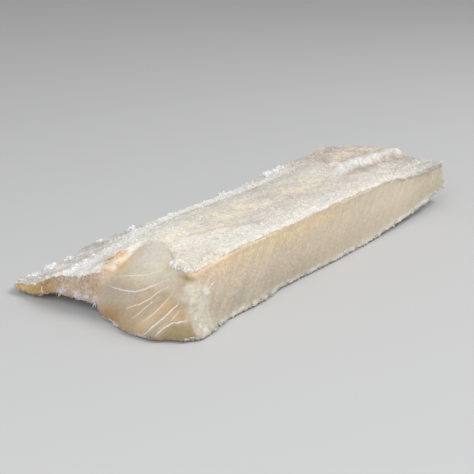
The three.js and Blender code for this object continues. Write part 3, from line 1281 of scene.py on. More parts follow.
    def _tint(self, q: np.ndarray, p: np.ndarray, cover: np.ndarray) -> np.ndarray:
        """Colours the skin.

        Args:
            q: the vertices' shares u, v, w, shape (n, 3).
            p: their places in millimetres, shape (n, 3).
            cover: their salt cover, shape (n,).

        Returns:
            Linear colours, shape (n, 3).
        """
        t = self.tones
        cloud = Pattern.CLOUD.noise.layers(p, 26, 3)
        grain = Pattern.GRAIN.noise.layers(p, 4.4, 3, 0.7)
        on = Ground(q, p, cover, cloud, grain)
        paint = Paint(np.tile(np.array(t.flesh), (len(q), 1)))
        self._tint_back(paint, on)
        self._tint_cut(paint, on)
        self._tint_corner(paint, on)
        self._tint_crust(paint, on)
        for spot in self._spots():
            paint.over(spot.tone, spot.share * spot.near(p))
        under = 1 - smooth(0.0, 0.04, q[:, 2])
        mottle = smooth(0.1, 0.6, Pattern.SKIN_MOTTLE.noise.layers(p, 12, 3))
        paint.over(t.skin, under)
        paint.over(t.skin_dark, under * 0.5 * mottle)
        paint.shade(1 + 0.05 * grain + 0.025 * cloud)
        return paint.colour

    def _tint_back(self, paint: Paint, on: Ground) -> None:
        """Paints the straight back cut: orange to gold under the crust, greyer below, frosted at its foot.

        Args:
            paint: the colours so far.
            on: the skin's vertices.
        """
        t = self.tones
        x, _, z = on.p.T
        back = self._on_back(on.q)
        above = z - along(self.form.tail_lift, x)
        streak = Pattern.FIBRES.noise.layers(self._fibres(on.p, 0.08, 0.12), 3.4, 3, 0.75)
        depth = self.back_height - z
        paint.over(t.flesh_light, back * smooth(120, 240, x))
        paint.over(t.flesh_grey, back * hump(x, 45, 50) * smooth(12, 30, depth) * 0.9)
        paint.over(t.gold, back * band(x, 40, 150, 18) * (1 - smooth(4, 15, depth)) * 0.85)
        paint.over(t.orange, back * band(x, -6, 44, 9) * (1 - smooth(5, 14 - 0.1 * x, depth)) * 0.9)
        paint.over(t.olive_light, back * smooth(255, 315, x) * 0.8)
        paint.shade(1 - 0.15 * back * smooth(14, 34, depth))
        paint.over(t.frost, back * (1 - smooth(2, 8, above + 3 * on.cloud)) * 0.6)
        paint.shade(1 + back * mix(0.18, 0.12, smooth(60, 130, x)) * streak)

    def _tint_cut(self, paint: Paint, on: Ground) -> None:
        """Paints the thick cut: flakes fan out below the lobe, with scoop and flap beside them, all under
        painted shade.

        Args:
            paint: the colours so far.
            on: the skin's vertices.
        """
        t = self.tones
        v, w = on.q[:, 1], on.q[:, 2]
        near = self._near(on.q, on.p)
        soft = Pattern.FLESH_CLOUD.noise.layers(on.p, 9, 3)
        _, reach = self._fan(on.p)
        paint.over(t.flesh, near)
        self._tint_fan(paint, on, near, soft)
        self._tint_scoop(paint, on, near, soft)
        self._tint_flap(paint, on, near, soft)
        paint.over(t.frost, near * band(v, 0.315, 0.41, 0.02) * (1 - smooth(0.02, 0.1, w + 0.02 * soft)))
        on_cut, distance, _ = self._from_seams(on.q)
        glow = np.zeros(len(v))
        glow[on_cut] = np.exp(-((distance.min(axis=0) / 1.1) ** 2))
        paint.over(t.seam, 0.22 * glow * near)
        # Painted shade over the whole thick cut, deeper towards the outer fan and towards the foot.
        low = 1 - smooth(0.08, 0.26, w)
        paint.shade(1 - near * (0.09 + 0.10 * smooth(22, 48, reach) + 0.12 * low))

    def _fan(self, p: np.ndarray) -> tuple[np.ndarray, np.ndarray]:
        """Measures points from the place on the thick cut where the flakes fan out.

        Args:
            p: the points in millimetres, shape (n, 3).

        Returns:
            Angles in degrees, counted down from level, and distances, both of shape (n,).
        """
        out, down = p[:, 1] - self.fan_root[0], self.fan_root[1] - p[:, 2]
        return np.degrees(np.arctan2(down, out)), np.hypot(down, out)

    def _tint_fan(self, paint: Paint, on: Ground, near: np.ndarray, soft: np.ndarray) -> None:
        """Paints the flakes below the lobe, each band of angles in its own tone.

        Args:
            paint: the colours so far.
            on: the skin's vertices.
            near: 1 on the thick cut and 0 off it, shape (n,).
            soft: the flesh's broad noise, shape (n,).
        """
        t = self.tones
        u, v, w = on.q.T
        angle, reach = self._fan(on.p)
        turn = angle + 3 * soft
        fan = near * smooth(5, 12, reach) * (1 - smooth(0.42, 0.47, v))
        fading = 1 - 0.65 * smooth(20, 29, reach)
        paint.over(t.flesh_warm, near * band(w, 0.58, 0.72, 0.05) * band(v, 0.16, 0.47, 0.04))
        paint.over(t.flesh_grey, fan * band(turn, 9, 30, 3) * smooth(22, 34, reach) * 0.6)
        paint.over(t.flesh_glow, near * band(turn, -25, 50, 9) * band(reach, 2, 16, 4) * 0.9)
        paint.over(t.flesh_fan, fan * band(turn, 26, 50, 5) * 0.95)
        paint.over(t.amber, fan * band(turn, 52, 63, 2.5) * (0.95 + 0.4 * soft) * fading)
        paint.over(t.tan, near * band(turn, 64, 103, 4) * band(reach, 11, 23, 3))
        paint.over(t.olive, near * band(turn, 62, 74, 3) * smooth(15, 22, reach) * 0.8)
        wedge = 1 - smooth(0.10 - 0.13 * w, 0.125 - 0.13 * w, v)
        paint.over(t.ochre, near * wedge * (1 - smooth(0.24, 0.32, w)))
        paint.over(t.pale, near * hump(v, 0.03, 0.024) * hump(w, 0.64, 0.04) * 0.9)
        paint.over(t.pale, near * hump(v, 0.008, 0.014) * band(w, 0.68, 0.84, 0.04) * 0.8)
        # Bare orange flesh in the recess under the lobe, with painted shade laid over it.
        bare = (1 - smooth(0.05, 0.12, v)) * band(w, 0.87, 1.05, 0.04) * (1 - smooth(0.02, 0.04, u))
        paint.over(t.orange, 0.9 * bare)
        paint.shade(1 - 0.15 * bare)
        foot = hump(v, 0.40, 0.05) * (1 - smooth(0.15, 0.4, w))
        paint.over(t.amber_deep, near * foot * (0.85 + 0.5 * soft))
        paint.over(t.amber, near * hump(v, 0.25, 0.05) * (1 - smooth(0.1, 0.2, w)) * 0.5)

    def _tint_scoop(self, paint: Paint, on: Ground, near: np.ndarray, soft: np.ndarray) -> None:
        """Paints the smooth pale scoop under the top.

        Args:
            paint: the colours so far.
            on: the skin's vertices.
            near: 1 on the thick cut and 0 off it, shape (n,).
            soft: the flesh's broad noise, shape (n,).
        """
        t = self.tones
        v, w = on.q[:, 1], on.q[:, 2]
        paint.over(t.scoop, near * smooth(0.72, 0.84, w) * band(v, 0.1, 0.44, 0.03))
        paint.over(t.scoop_low, near * band(w, 0.7, 0.82, 0.04) * band(v, 0.1, 0.37, 0.03) * 0.85)
        paint.over(t.scoop_light, near * smooth(0.78, 0.9, w) * hump(v, 0.17, 0.06))
        beside = band(v, 0.375, 0.46, 0.02) * band(w, 0.72, 0.95, 0.05)
        paint.over(t.amber_pale, near * beside * (0.7 + 0.5 * soft))

    def _tint_flap(self, paint: Paint, on: Ground, near: np.ndarray, soft: np.ndarray) -> None:
        """Paints the flap's torn cut: brown to amber, with the shiny membrane under it, its streaks painted
        highlights, and a pale tip.

        Args:
            paint: the colours so far.
            on: the skin's vertices.
            near: 1 on the thick cut and 0 off it, shape (n,).
            soft: the flesh's broad noise, shape (n,).
        """
        t = self.tones
        v, w = on.q[:, 1], on.q[:, 2]
        y, z = on.p[:, 1], on.p[:, 2]
        flap = near * smooth(0.44, 0.48, v + 0.01 * soft)
        paint.over(t.brown, flap * (0.8 + 0.3 * soft))
        paint.over(t.amber_deep, flap * smooth(0.66, 0.8, v))
        paint.over(t.amber_tip, flap * smooth(0.78, 0.9, v) * (0.8 + 0.4 * soft))
        paint.over(t.scoop_low, flap * 0.8 * smooth(0.94, 0.985, v + 0.01 * soft))
        membrane = near * band(v, 0.475, 0.715, 0.02) * (1 - smooth(0.32, 0.52, w + 0.2 * soft))
        # The membrane is laid in streaks: its own pale tone, and painted highlights on its glossy film.
        shine = Pattern.SHINE.noise.layers(np.stack([y * 0.5 + z, y * 0.2, z * 0.3], axis=1), 2.4, 2)
        paint.over(t.membrane, membrane * smooth(-0.3, 0.25, shine))
        fleck = Pattern.FLECKS.noise.layers(on.p, 3.2, 3, 0.9)
        paint.shade(1 + flap * (0.32 * fleck + 0.03))
        paint.over(t.pale, flap * 0.7 * smooth(0.42, 0.6, fleck))

    def _tint_corner(self, paint: Paint, on: Ground) -> None:
        """Paints the pale upright edge between thick cut and back cut, with painted shade at its foot.

        Args:
            paint: the colours so far.
            on: the skin's vertices.
        """
        t = self.tones
        z = on.p[:, 2]
        low = 1 - smooth(2, 20, z)
        corner = self._corner(on.q, on.p) * (1 - 0.45 * smooth(22, 27, z))
        paint.over(t.pillar, corner * (0.85 + 0.3 * on.grain))
        paint.over(t.crust, corner * smooth(0.0, 0.4, on.grain) * (0.6 - 0.3 * low))
        # Painted shade on the lower part of the corner.
        paint.shade(1 - 0.3 * corner * low)

    def _tint_crust(self, paint: Paint, on: Ground) -> None:
        """Paints the salt crust: whitest on the rims, beige in the middle, greyer towards the belly, with
        painted shade in the creases.

        Args:
            paint: the colours so far.
            on: the skin's vertices.
        """
        t, cover, grain = self.tones, on.cover, on.grain
        x, y, _ = on.p.T
        tail = smooth(215, 265, x)
        patchy = 0.65 + 0.5 * on.cloud + 0.45 * grain
        drift = Pattern.DRIFT.noise.layers(np.stack([x * 0.3, y, 0.3 * x], axis=1), 6.5, 3, 0.7)
        paint.over(t.crust, cover)
        paint.over(t.salt, cover * self._roll(on.q, 0.006, 0.009) * smooth(-0.2, 0.4, grain))
        paint.over(t.crust_beige, cover * band(y, 26, 92, 12) * smooth(20, 100, x) * (1 - tail) * patchy)
        golden = hump(y, 47, 10) * band(x, 30, 225, 25) * smooth(-0.3, 0.3, grain + drift)
        paint.over(t.crust_gold, 0.85 * cover * golden)
        paint.over(t.crust_grey, 0.85 * cover * smooth(84, 104, y) * smooth(36, 70, x) * patchy)
        paint.over(t.crust_dull, 0.95 * cover * smooth(109, 122, y) * (1 - smooth(50, 90, x)) * patchy)
        paint.over(t.crust_dull, 0.8 * cover * smooth(122, 132, y) * band(x, 45, 115, 20))
        paint.over(t.crust_warm, 0.75 * cover * (1 - smooth(14, 42, x)) * (1 - smooth(28, 55, y)))
        self._tint_flap_crust(paint, on)
        self._tint_tail_crust(paint, on, tail, patchy)
        at_cut = 1 - smooth(AT_START, 0.004, on.q[:, 0])
        paint.over(t.crust_gold, 0.4 * cover * smooth(0.25, 0.6, grain) * at_cut)
        self._shade_crust(paint, on, tail, drift)
        # Painted shade in the creases.
        for crease in self.creases:
            if crease.depth_mm > 0:
                paint.over(t.hollow_shade, 0.45 * cover * (on.q[:, 2] > AT_END) * crease.near(on.p))

    def _tint_flap_crust(self, paint: Paint, on: Ground) -> None:
        """Paints the crust on the flap's near end: mauve patches on it and the white roll beside them, whose
        white salt is partly painted light.

        Args:
            paint: the colours so far.
            on: the skin's vertices.
        """
        t = self.tones
        x, y, _ = on.p.T
        patch = Pattern.FLAP_PATCHES.noise.layers(on.p, 6.5, 3, 0.75)
        flap = (1 - smooth(10, 26, x)) * smooth(64, 74, y)
        paint.over(t.crust_mauve, 0.9 * on.cover * flap * smooth(-0.15, 0.25, patch))
        spared = 1 - 0.8 * flap * smooth(-0.1, 0.3, patch)
        # White salt on the roll, laid whiter than the crust around it, partly as painted light.
        paint.over(t.salt, 0.95 * on.cover * hump(y, 92, 11) * (1 - smooth(40, 75, x)) * spared)

    def _fold_line(self, on: Ground) -> np.ndarray:
        """The y of the ragged white fold beside each vertex, shape (n,)."""
        return along(self.fold, on.p[:, 0]) + 1.5 * on.cloud + 2.0 * on.grain

    def _tint_tail_crust(self, paint: Paint, on: Ground, tail: np.ndarray, patchy: np.ndarray) -> None:
        """Paints the crust towards the tail: the white fold, painted shade in the groove at its foot, and
        the plateau.

        Args:
            paint: the colours so far.
            on: the skin's vertices.
            tail: 0 before the tail and 1 on it, shape (n,).
            patchy: share of the crust's second tones, shape (n,).
        """
        t, cover, grain = self.tones, on.cover, on.grain
        x, y, _ = on.p.T
        fold = self._fold_line(on)
        behind = smooth(fold + 1, fold + 8, y) * smooth(215, 255, x)
        paint.over(t.plateau, cover * behind * (0.85 + 0.5 * grain))
        before = band(y, 12, 100, 6) * (1 - smooth(fold - 6, fold - 3, y))
        paint.over(t.crust_beige, cover * tail * before * patchy)
        # Painted shade in the groove at the fold's foot.
        paint.over(t.hollow_shade, 0.6 * smooth(210, 240, x) * cover * hump(y, fold - 8, 3.6))
        white = smooth(222, 236, x) * cover * hump(y, fold, 2.6 - 1.2 * smooth(270, 300, x))
        paint.over(t.clump, 0.9 * white * (0.9 + 0.7 * grain))
        paint.over(t.salt, 0.8 * cover * hump(x, 248, 16) * hump(y, 108, 12))
        paint.over(t.frost, 0.8 * cover * hump(x, 214, 16) * hump(y, 62, 8) * (0.8 + 0.6 * grain))
        paint.over(t.crust_dull, 0.8 * cover * smooth(235, 300, x) * (1 - smooth(6, 13, y)))

    def _shade_crust(self, paint: Paint, on: Ground, tail: np.ndarray, drift: np.ndarray) -> None:
        """Shades the crust: drifts and blotches, a little darker on the back side of the top towards the
        tail and on the back rim towards the thick cut, and painted light on the belly side and the flap's
        crest.

        Args:
            paint: the colours so far.
            on: the skin's vertices.
            tail: 0 before the tail and 1 on it, shape (n,).
            drift: noise drawn out along the loin, shape (n,).
        """
        x, y, _ = on.p.T
        fold = self._fold_line(on)
        blotch = Pattern.BLOTCHES.noise.layers(on.p, 13, 3, 0.8)
        swing = 0.07 + 0.17 * band(y, 26, 92, 12) * band(x, 40, 130, 15) + 0.26 * tail * smooth(10, 24, y)
        swing += 0.14 * tail * smooth(fold, fold + 8, y) + 0.24 * smooth(85, 100, y) * (1 - tail)
        paint.shade(1 + on.cover * (0.11 * drift + swing * blotch))
        paint.shade(1 - 0.045 * on.cover * smooth(100, 150, x) * (1 - smooth(70, 90, y)))
        # Painted light on the belly side and on the flap's crest.
        crest = 0.19 * smooth(84, 98, y) * band(x, 110, 215, 15)
        crest += 0.09 * hump(y, 97, 12) * (1 - smooth(30, 50, x))
        rim = (1 - smooth(20, 35, y)) * (1 - smooth(100, 150, x))
        paint.shade(1 + on.cover * (crest - 0.03 * rim))


class Side(Enum):
    """A cut of the loin, by the name of the share that is fixed on it."""

    THICK_CUT = "u at its start"
    BACK_CUT = "v at its start"
    TAIL_CUT = "u at its end"

    def shares(self, a: np.ndarray, w: np.ndarray) -> np.ndarray:
        """Places points on the cut.

        Args:
            a: their shares along the cut, shape (n,).
            w: their shares of the height, shape (n,).

        Returns:
            Their shares u, v, w, shape (n, 3).
        """
        if self is Side.BACK_CUT:
            return np.stack([a, np.zeros_like(a), w], axis=1)
        return np.stack([np.full_like(a, float(self is Side.TAIL_CUT)), a, w], axis=1)

    def outward(self) -> np.ndarray:
        """Direction out of the cut."""
        ways = {Side.THICK_CUT: (-1, 0, 0), Side.BACK_CUT: (0, -1, 0), Side.TAIL_CUT: (1, 0, 0)}
        return np.array(ways[self], float)


@dataclass(frozen=True)
class SeamPath:
    """One sheet of connective tissue where it meets a cut.

    Args:
        places: share along the cut and w of two to four places on it, in order.
        width_mm: its width in the middle.
    """

    places: Stations
    width_mm: float = 0.9

    def line(self, t: np.ndarray) -> tuple[np.ndarray, np.ndarray]:
        """Draws a smooth curve through the places.

        Args:
            t: steps along it from 0 to 1, shape (n,).

        Returns:
            Shares along the cut and shares of the height at the steps, both of shape (n,).
        """
        at = np.linspace(0, 1, len(self.places))
        columns = np.array(self.places, float).T
        a, w = (np.polyval(np.polyfit(at, column, len(at) - 1), t) for column in columns)
        return a, w


THICK_SEAMS = (
    SeamPath(((0.40, 0.738), (0.325, 0.729), (0.262, 0.767), (0.198, 0.85)), 1.25),
    SeamPath(((0.403, 0.62), (0.288, 0.558), (0.208, 0.667), (0.113, 0.833)), 1.41),
    SeamPath(((0.293, 0.338), (0.213, 0.47), (0.167, 0.60), (0.107, 0.767)), 1.10),
    SeamPath(((0.245, 0.24), (0.205, 0.37), (0.175, 0.49), (0.135, 0.625)), 0.78),
    SeamPath(((0.187, 0.25), (0.145, 0.375), (0.118, 0.51), (0.078, 0.70)), 0.98),
    SeamPath(((0.16, 0.09), (0.103, 0.33), (0.05, 0.58)), 1.38),
    SeamPath(((0.112, 0.095), (0.075, 0.246), (0.042, 0.292), (0.003, 0.33)), 1.4),
    SeamPath(((0.073, 0.30), (0.047, 0.45)), 0.94),
    SeamPath(((0.80, 0.62), (0.808, 0.40), (0.797, 0.12)), 0.62),
)
BACK_SEAMS = (
    SeamPath(((0.071, 0.70), (0.055, 0.68), (0.047, 0.62)), 0.6),
    SeamPath(((0.052, 0.60), (0.05, 0.46), (0.052, 0.32)), 0.6),
)
TAIL_SEAMS = (
    SeamPath(((0.62, 0.30), (0.46, 0.48), (0.30, 0.85)), 1.1),
    SeamPath(((0.50, 0.18), (0.35, 0.41), (0.20, 0.80)), 1.1),
    SeamPath(((0.38, 0.15), (0.25, 0.36), (0.12, 0.72)), 0.9),
    SeamPath(((0.26, 0.15), (0.165, 0.34), (0.07, 0.60)), 0.9),
    SeamPath(((0.82, 0.35), (0.66, 0.50), (0.50, 0.80)), 0.8),
)


@dataclass(frozen=True)
class Seams:
    """Pale tissue seams that stand slightly out of the cuts.

    Args:
        form: the loin's form.
        tones: its tones.
        paths: the seams of each cut.
        steps: rings along each.
        sides: sides of each ring.
        proud_mm: how far they stand out.
    """

    form: LoinForm
    tones: Tones
    paths: tuple[tuple[Side, tuple[SeamPath, ...]], ...] = (
        (Side.THICK_CUT, THICK_SEAMS),
        (Side.BACK_CUT, BACK_SEAMS),
        (Side.TAIL_CUT, TAIL_SEAMS),
    )
    steps: int = 26
    sides: int = 6
    proud_mm: float = 0.5

    def _bead(self, made: bmesh.types.BMesh, path: SeamPath, side: Side) -> None:
        """Adds one tapered bead, half sunk in the cut.

        Args:
            made: the piece's geometry so far.
            path: the seam.
            side: the cut that it lies in.
        """
        t = np.linspace(0, 1, self.steps + 1)
        a, w = path.line(t)
        own = np.full_like(t, path.width_mm * 50)
        w = w + 0.010 * Pattern.SEAM_WAVE.noise.at(np.stack([a * 90, t * 8, own], axis=1), 1.0)
        centre = self.form.points(side.shares(a, w)) + 0.12 * side.outward()
        ahead = np.gradient(centre, axis=0)
        across = np.cross(ahead, side.outward())
        across /= np.linalg.norm(across, axis=1)[:, None]
        lift = np.cross(across, ahead)
        lift /= np.linalg.norm(lift, axis=1)[:, None]
        taper = 0.25 + 0.75 * np.sqrt(np.sin(np.pi * np.clip(t, 0.02, 0.98)))
        taper *= 1 + 0.25 * Pattern.SEAM_TAPER.noise.at(np.stack([t * 14, a * 80, w], axis=1), 1.0)
        rings = []
        for i in range(self.steps + 1):
            ring = []
            for k in range(self.sides):
                turn = 2 * math.pi * k / self.sides
                place = centre[i] + across[i] * (0.5 * path.width_mm * taper[i] * math.cos(turn))
                place = place + lift[i] * (self.proud_mm * taper[i] * math.sin(turn))
                ring.append(made.verts.new(place))
            rings.append(ring)
        for lower, upper in zip(rings, rings[1:]):
            for k in range(self.sides):
                n = (k + 1) % self.sides
                made.faces.new((lower[k], lower[n], upper[n], upper[k]))
        made.faces.new(rings[0][::-1])
        made.faces.new(rings[-1])

    def build(self) -> bpy.types.Object:
        """Makes the piece with all seams of every cut.

        Returns:
            The seams in millimetres.
        """
        made = bmesh.new()
        for side, paths in self.paths:
            for path in paths:
                self._bead(made, path, side)
        bmesh.ops.recalc_face_normals(made, faces=made.faces)
        piece = new_object("tissue_seams", made)
        count = len(piece.data.vertices)
        set_attributes(piece.data, np.tile(self.tones.seam, (count, 1)), np.zeros(count))
        return piece


class Grain(Enum):
    """Shape of a salt grain."""

    CUBE = "sharp cube"
    PEBBLE = "rounded lump"

    def unit(self) -> tuple[np.ndarray, np.ndarray]:
        """Makes the shape at size 1.

        Returns:
            Its corners, shape (n, 3), and the indices of each face's corners, shape (m, k).
        """
        made = bmesh.new()
        if self is Grain.CUBE:
            bmesh.ops.create_cube(made, size=1)
        else:
            bmesh.ops.create_icosphere(made, subdivisions=1, radius=0.55)
        corners = np.array([v.co for v in made.verts])
        faces = np.array([[v.index for v in f.verts] for f in made.faces])
        made.free()
        return corners, faces


def random_turns(count: int, draw: np.random.Generator) -> np.ndarray:
    """Draws random rotation matrices.

    Args:
        count: how many.
        draw: the draws.

    Returns:
        The matrices, shape (count, 3, 3).
    """
    q = draw.normal(size=(count, 4))
    a, b, c, d = (q / np.linalg.norm(q, axis=1)[:, None]).T
    rows = [
        [1 - 2 * (c * c + d * d), 2 * (b * c - a * d), 2 * (b * d + a * c)],
        [2 * (b * c + a * d), 1 - 2 * (b * b + d * d), 2 * (c * d - a * b)],
        [2 * (b * d - a * c), 2 * (c * d + a * b), 1 - 2 * (b * b + c * c)],
    ]
    return np.moveaxis(np.array(rows), 2, 0)


def joined_grains(
    name: str,
    grain: Grain,
    places: np.ndarray,
    size: np.ndarray,
    tint: np.ndarray,
    draw: np.random.Generator,
) -> bpy.types.Object:
    """Joins rough grains into one piece.

    Args:
        name: the piece's name.
        grain: their shape.
        places: their centres in millimetres, shape (n, 3).
        size: their sizes, shape (n,).
        tint: their linear colours, shape (n, 3).
        draw: the draws that turn them and make them rough.

    Returns:
        The new piece.
    """
    corners, faces = grain.unit()
    count, each = len(places), len(corners)
    shape = corners[None] * draw.uniform(0.65, 1.2, (count, 1, 3))
    shape = shape + draw.uniform(-0.1, 0.1, (count, each, 3))
    turned = np.einsum("nij,nkj->nki", random_turns(count, draw), shape * size[:, None, None])
    joined = (faces[None] + each * np.arange(count)[:, None, None]).reshape(-1, faces.shape[1])
    mesh = bpy.data.meshes.new(name)
    mesh.from_pydata((turned + places[:, None]).reshape(-1, 3).tolist(), [], joined.tolist())
    if grain is Grain.PEBBLE:
        mesh.shade_smooth()
    else:
        mesh.shade_flat()
    set_attributes(mesh, np.repeat(tint, each, axis=0), np.ones(each * count))
    return linked(name, mesh)


@dataclass(frozen=True)
class SaltLumps:
    """Salt grains of one size range, bedded in the loin's skin.

    Args:
        name: the piece's name.
        grain: their shape.
        surface: the skin they lie in.
        tones: the tones.
        count: how many.
        size_mm: smallest and largest.
        bare_share: how many lie on bare flesh, against the crust.
        rim_share: how many more lie on the back rim, against the rest of the crust.
        sunk: how deep each is bedded, as a share of its size.
        own_tone: share of the salt's own tone in their colour, against that of the skin below.
        seed: which draw.
    """

    name: str
    grain: Grain
    surface: Surface
    tones: Tones
    count: int
    size_mm: tuple[float, float]
    bare_share: float
    rim_share: float
    sunk: float
    own_tone: float
    seed: int

    def _beds(self, draw: np.random.Generator) -> np.ndarray:
        """Picks where the grains lie, most of them in the crust.

        Args:
            draw: the draws.

        Returns:
            Indices of the skin's vertices that carry one each, shape (count,).
        """
        s = self.surface
        rim = hump(s.points[:, 1], 3, 7) * smooth(0.9, 0.97, s.shares[:, 2])
        weight = self.bare_share + s.cover * (1 + self.rim_share * rim)
        weight *= smooth(0.02, 0.06, s.shares[:, 2])
        return draw.choice(len(weight), self.count, replace=False, p=weight / weight.sum())

    def build(self) -> bpy.types.Object:
        """Makes the piece with every lump.

        Returns:
            The lumps in millimetres.
        """
        draw = np.random.default_rng(self.seed)
        bed = self._beds(draw)
        size = mix(*self.size_mm, draw.random(self.count) ** 2.5)
        places = self.surface.points[bed] + draw.uniform(-0.5, 0.5, (self.count, 3))
        places += self.surface.normals[bed] * ((0.5 - self.sunk) * size)[:, None]
        tint = mix(self.surface.tint[bed], np.array(self.tones.salt), self.own_tone)
        tint *= draw.uniform(0.95, 1.05, self.count)[:, None]
        return joined_grains(self.name, self.grain, places, size, tint, draw)


@dataclass(frozen=True)
class EdgeClusters:
    """Large clumps of salt along the belly edge, each a heap of rounded lumps.

    Args:
        form: the loin's form.
        tones: its tones.
        clumps: distance along the loin, share of the width and size of each, in millimetres.
        lumps_each: lumps in a clump.
        seed: which draw.
    """

    form: LoinForm
    tones: Tones
    clumps: tuple[tuple[float, float, float], ...] = (
        (22, 0.99, 4.2), (38, 0.98, 4.0), (106, 0.985, 3.4), (246, 0.972, 5.6), (253, 0.955, 4.4),
        (262, 0.965, 3.4), (6, 0.97, 3.0), (72, 0.985, 2.6), (140, 0.98, 2.6), (196, 0.975, 3.0),
        (-7.4, 0.145, 3.2), (-7.6, 0.118, 2.2), (-6.0, 0.085, 2.0), (-3.6, 0.045, 2.2), (0.5, 0.014, 1.8),
    )
    lumps_each: int = 24
    seed: int = 8

    def build(self) -> bpy.types.Object:
        """Makes the piece with all clumps.

        Returns:
            The clumps in millimetres.
        """
        draw = np.random.default_rng(self.seed)
        x, v, size = (np.repeat(column, self.lumps_each) for column in np.array(self.clumps).T)
        centre = self.form.points(np.stack([self.form.u_at(x), v, np.ones_like(v)], axis=1))
        count = len(x)
        centre += draw.normal(size=(count, 3)) * (np.array([0.5, 0.36, 0.16]) * size[:, None])
        centre[:, 2] += 0.02 * size
        tint = np.tile(self.tones.clump, (count, 1)) * draw.uniform(0.97, 1.02, count)[:, None]
        lumps = size * draw.uniform(0.4, 0.95, count)
        return joined_grains("salt_clumps", Grain.PEBBLE, centre, lumps, tint, draw)


@dataclass(frozen=True)
class Fringe:
    """A row of torn fibre ends along one edge.

    Args:
        side: the cut they hang from.
        low: share along the cut and w where the row starts.
        high: share along the cut and w where it ends.
        count: how many.
        length_mm: shortest and longest.
        droop: how much they point down against outward.
        tone: their colour.
    """

    side: Side
    low: tuple[float, float]
    high: tuple[float, float]
    count: int
    length_mm: tuple[float, float]
    droop: float
    tone: Colour


@dataclass(frozen=True)
class TornEnds:
    """Torn fibre ends and threads along the lower edges, as small bent tapered spikes.

    Args:
        form: the loin's form.
        fringes: the rows.
        rings: share of the length and of the width at each ring of a spike, before its tip.
        crust_share: how much of their finish is that of the crust.
        seed: which draw.
    """

    form: LoinForm
    fringes: tuple[Fringe, ...]
    rings: tuple[tuple[float, float], ...] = ((0.0, 1.0), (0.45, 0.7), (0.8, 0.35))
    crust_share: float = 0.3
    seed: int = 12

    def _spikes(self, fringe: Fringe, draw: np.random.Generator) -> tuple[np.ndarray, np.ndarray]:
        """Makes the spikes of a row.

        Args:
            fringe: the row.
            draw: the draws.

        Returns:
            Their vertices, ring by ring and then the tip, shape (count, each, 3), and their linear
            colours, shape (count, 3).
        """
        n = fringe.count
        a = mix(fringe.low[0], fringe.high[0], (np.arange(n) + draw.random(n)) / n)
        w = mix(fringe.low[1], fringe.high[1], draw.random(n))
        root = self.form.points(fringe.side.shares(a, w)) - 0.25 * fringe.side.outward()
        aim = fringe.side.outward() + np.array([0, 0, -fringe.droop]) + draw.normal(size=(n, 3)) * 0.3
        aim /= np.linalg.norm(aim, axis=1)[:, None]
        across = np.cross(aim, draw.normal(size=(n, 3)))
        across /= np.linalg.norm(across, axis=1)[:, None]
        other = np.cross(aim, across)
        length = mix(*fringe.length_mm, draw.random(n) ** 2)
        width = draw.uniform(0.28, 0.5, n) * (0.6 + 0.35 * length)
        width = np.minimum(width, 0.55)
        bend = draw.normal(size=(n, 3)) * 0.25 * length[:, None]
        rows = []
        for step, thick in self.rings:
            centre = root + aim * (step * length)[:, None] + bend * step**2
            for c, s in ((1, 0), (0, 1), (-1, 0), (0, -1)):
                rows.append(centre + (across * c + other * s) * (width * thick)[:, None])
        rows.append(root + aim * length[:, None] + bend)
        tint = np.tile(fringe.tone, (n, 1)) * draw.uniform(0.85, 1.05, n)[:, None]
        return np.stack(rows, axis=1), tint

    def _faces(self) -> list[tuple[int, ...]]:
        """Lists the faces of one spike.

        Returns:
            The corners of its root, of the sides between its rings and of the sides at its tip.
        """
        tip = 4 * len(self.rings)
        faces = [(3, 2, 1, 0)]
        for low in range(0, tip - 4, 4):
            for k in range(4):
                n = (k + 1) % 4
                faces.append((low + k, low + n, low + 4 + n, low + 4 + k))
        return faces + [(tip - 4 + k, tip - 4 + (k + 1) % 4, tip) for k in range(4)]

    def build(self) -> bpy.types.Object:
        """Makes the piece with every row.

        Returns:
            The torn ends in millimetres.
        """
        draw = np.random.default_rng(self.seed)
        made = [self._spikes(fringe, draw) for fringe in self.fringes]
        places = np.concatenate([m[0] for m in made])
        tint = np.concatenate([m[1] for m in made])
        count, each = places.shape[:2]
        faces = [[each * i + k for k in face] for i in range(count) for face in self._faces()]
        mesh = bpy.data.meshes.new("torn_ends")
        mesh.from_pydata(places.reshape(-1, 3).tolist(), [], faces)
        mesh.shade_smooth()
        set_attributes(mesh, np.repeat(tint, each, axis=0), np.full(each * count, self.crust_share))
        return linked("torn_ends", mesh)


@dataclass(frozen=True)
class SoftLight:
    """A square soft light that faces the loin.

    Args:
        name: its name.
        place: where it hangs, in metres.
        power: its power in watts.
        size: its width in metres.
        colour: its colour.
    """

    name: str
    place: tuple[float, float, float]
    power: float
    size: float
    colour: Colour = (1, 1, 1)

    def build(self) -> None:
        """Hangs the light."""
        data = bpy.data.lights.new(self.name, "AREA")
        data.energy = self.power
        data.size = self.size
        data.color = self.colour
        light = bpy.data.objects.new(self.name, data)
        light.location = self.place
        light.rotation_euler = (-Vector(self.place)).to_track_quat("-Z", "Y").to_euler()
        bpy.context.scene.collection.objects.link(light)


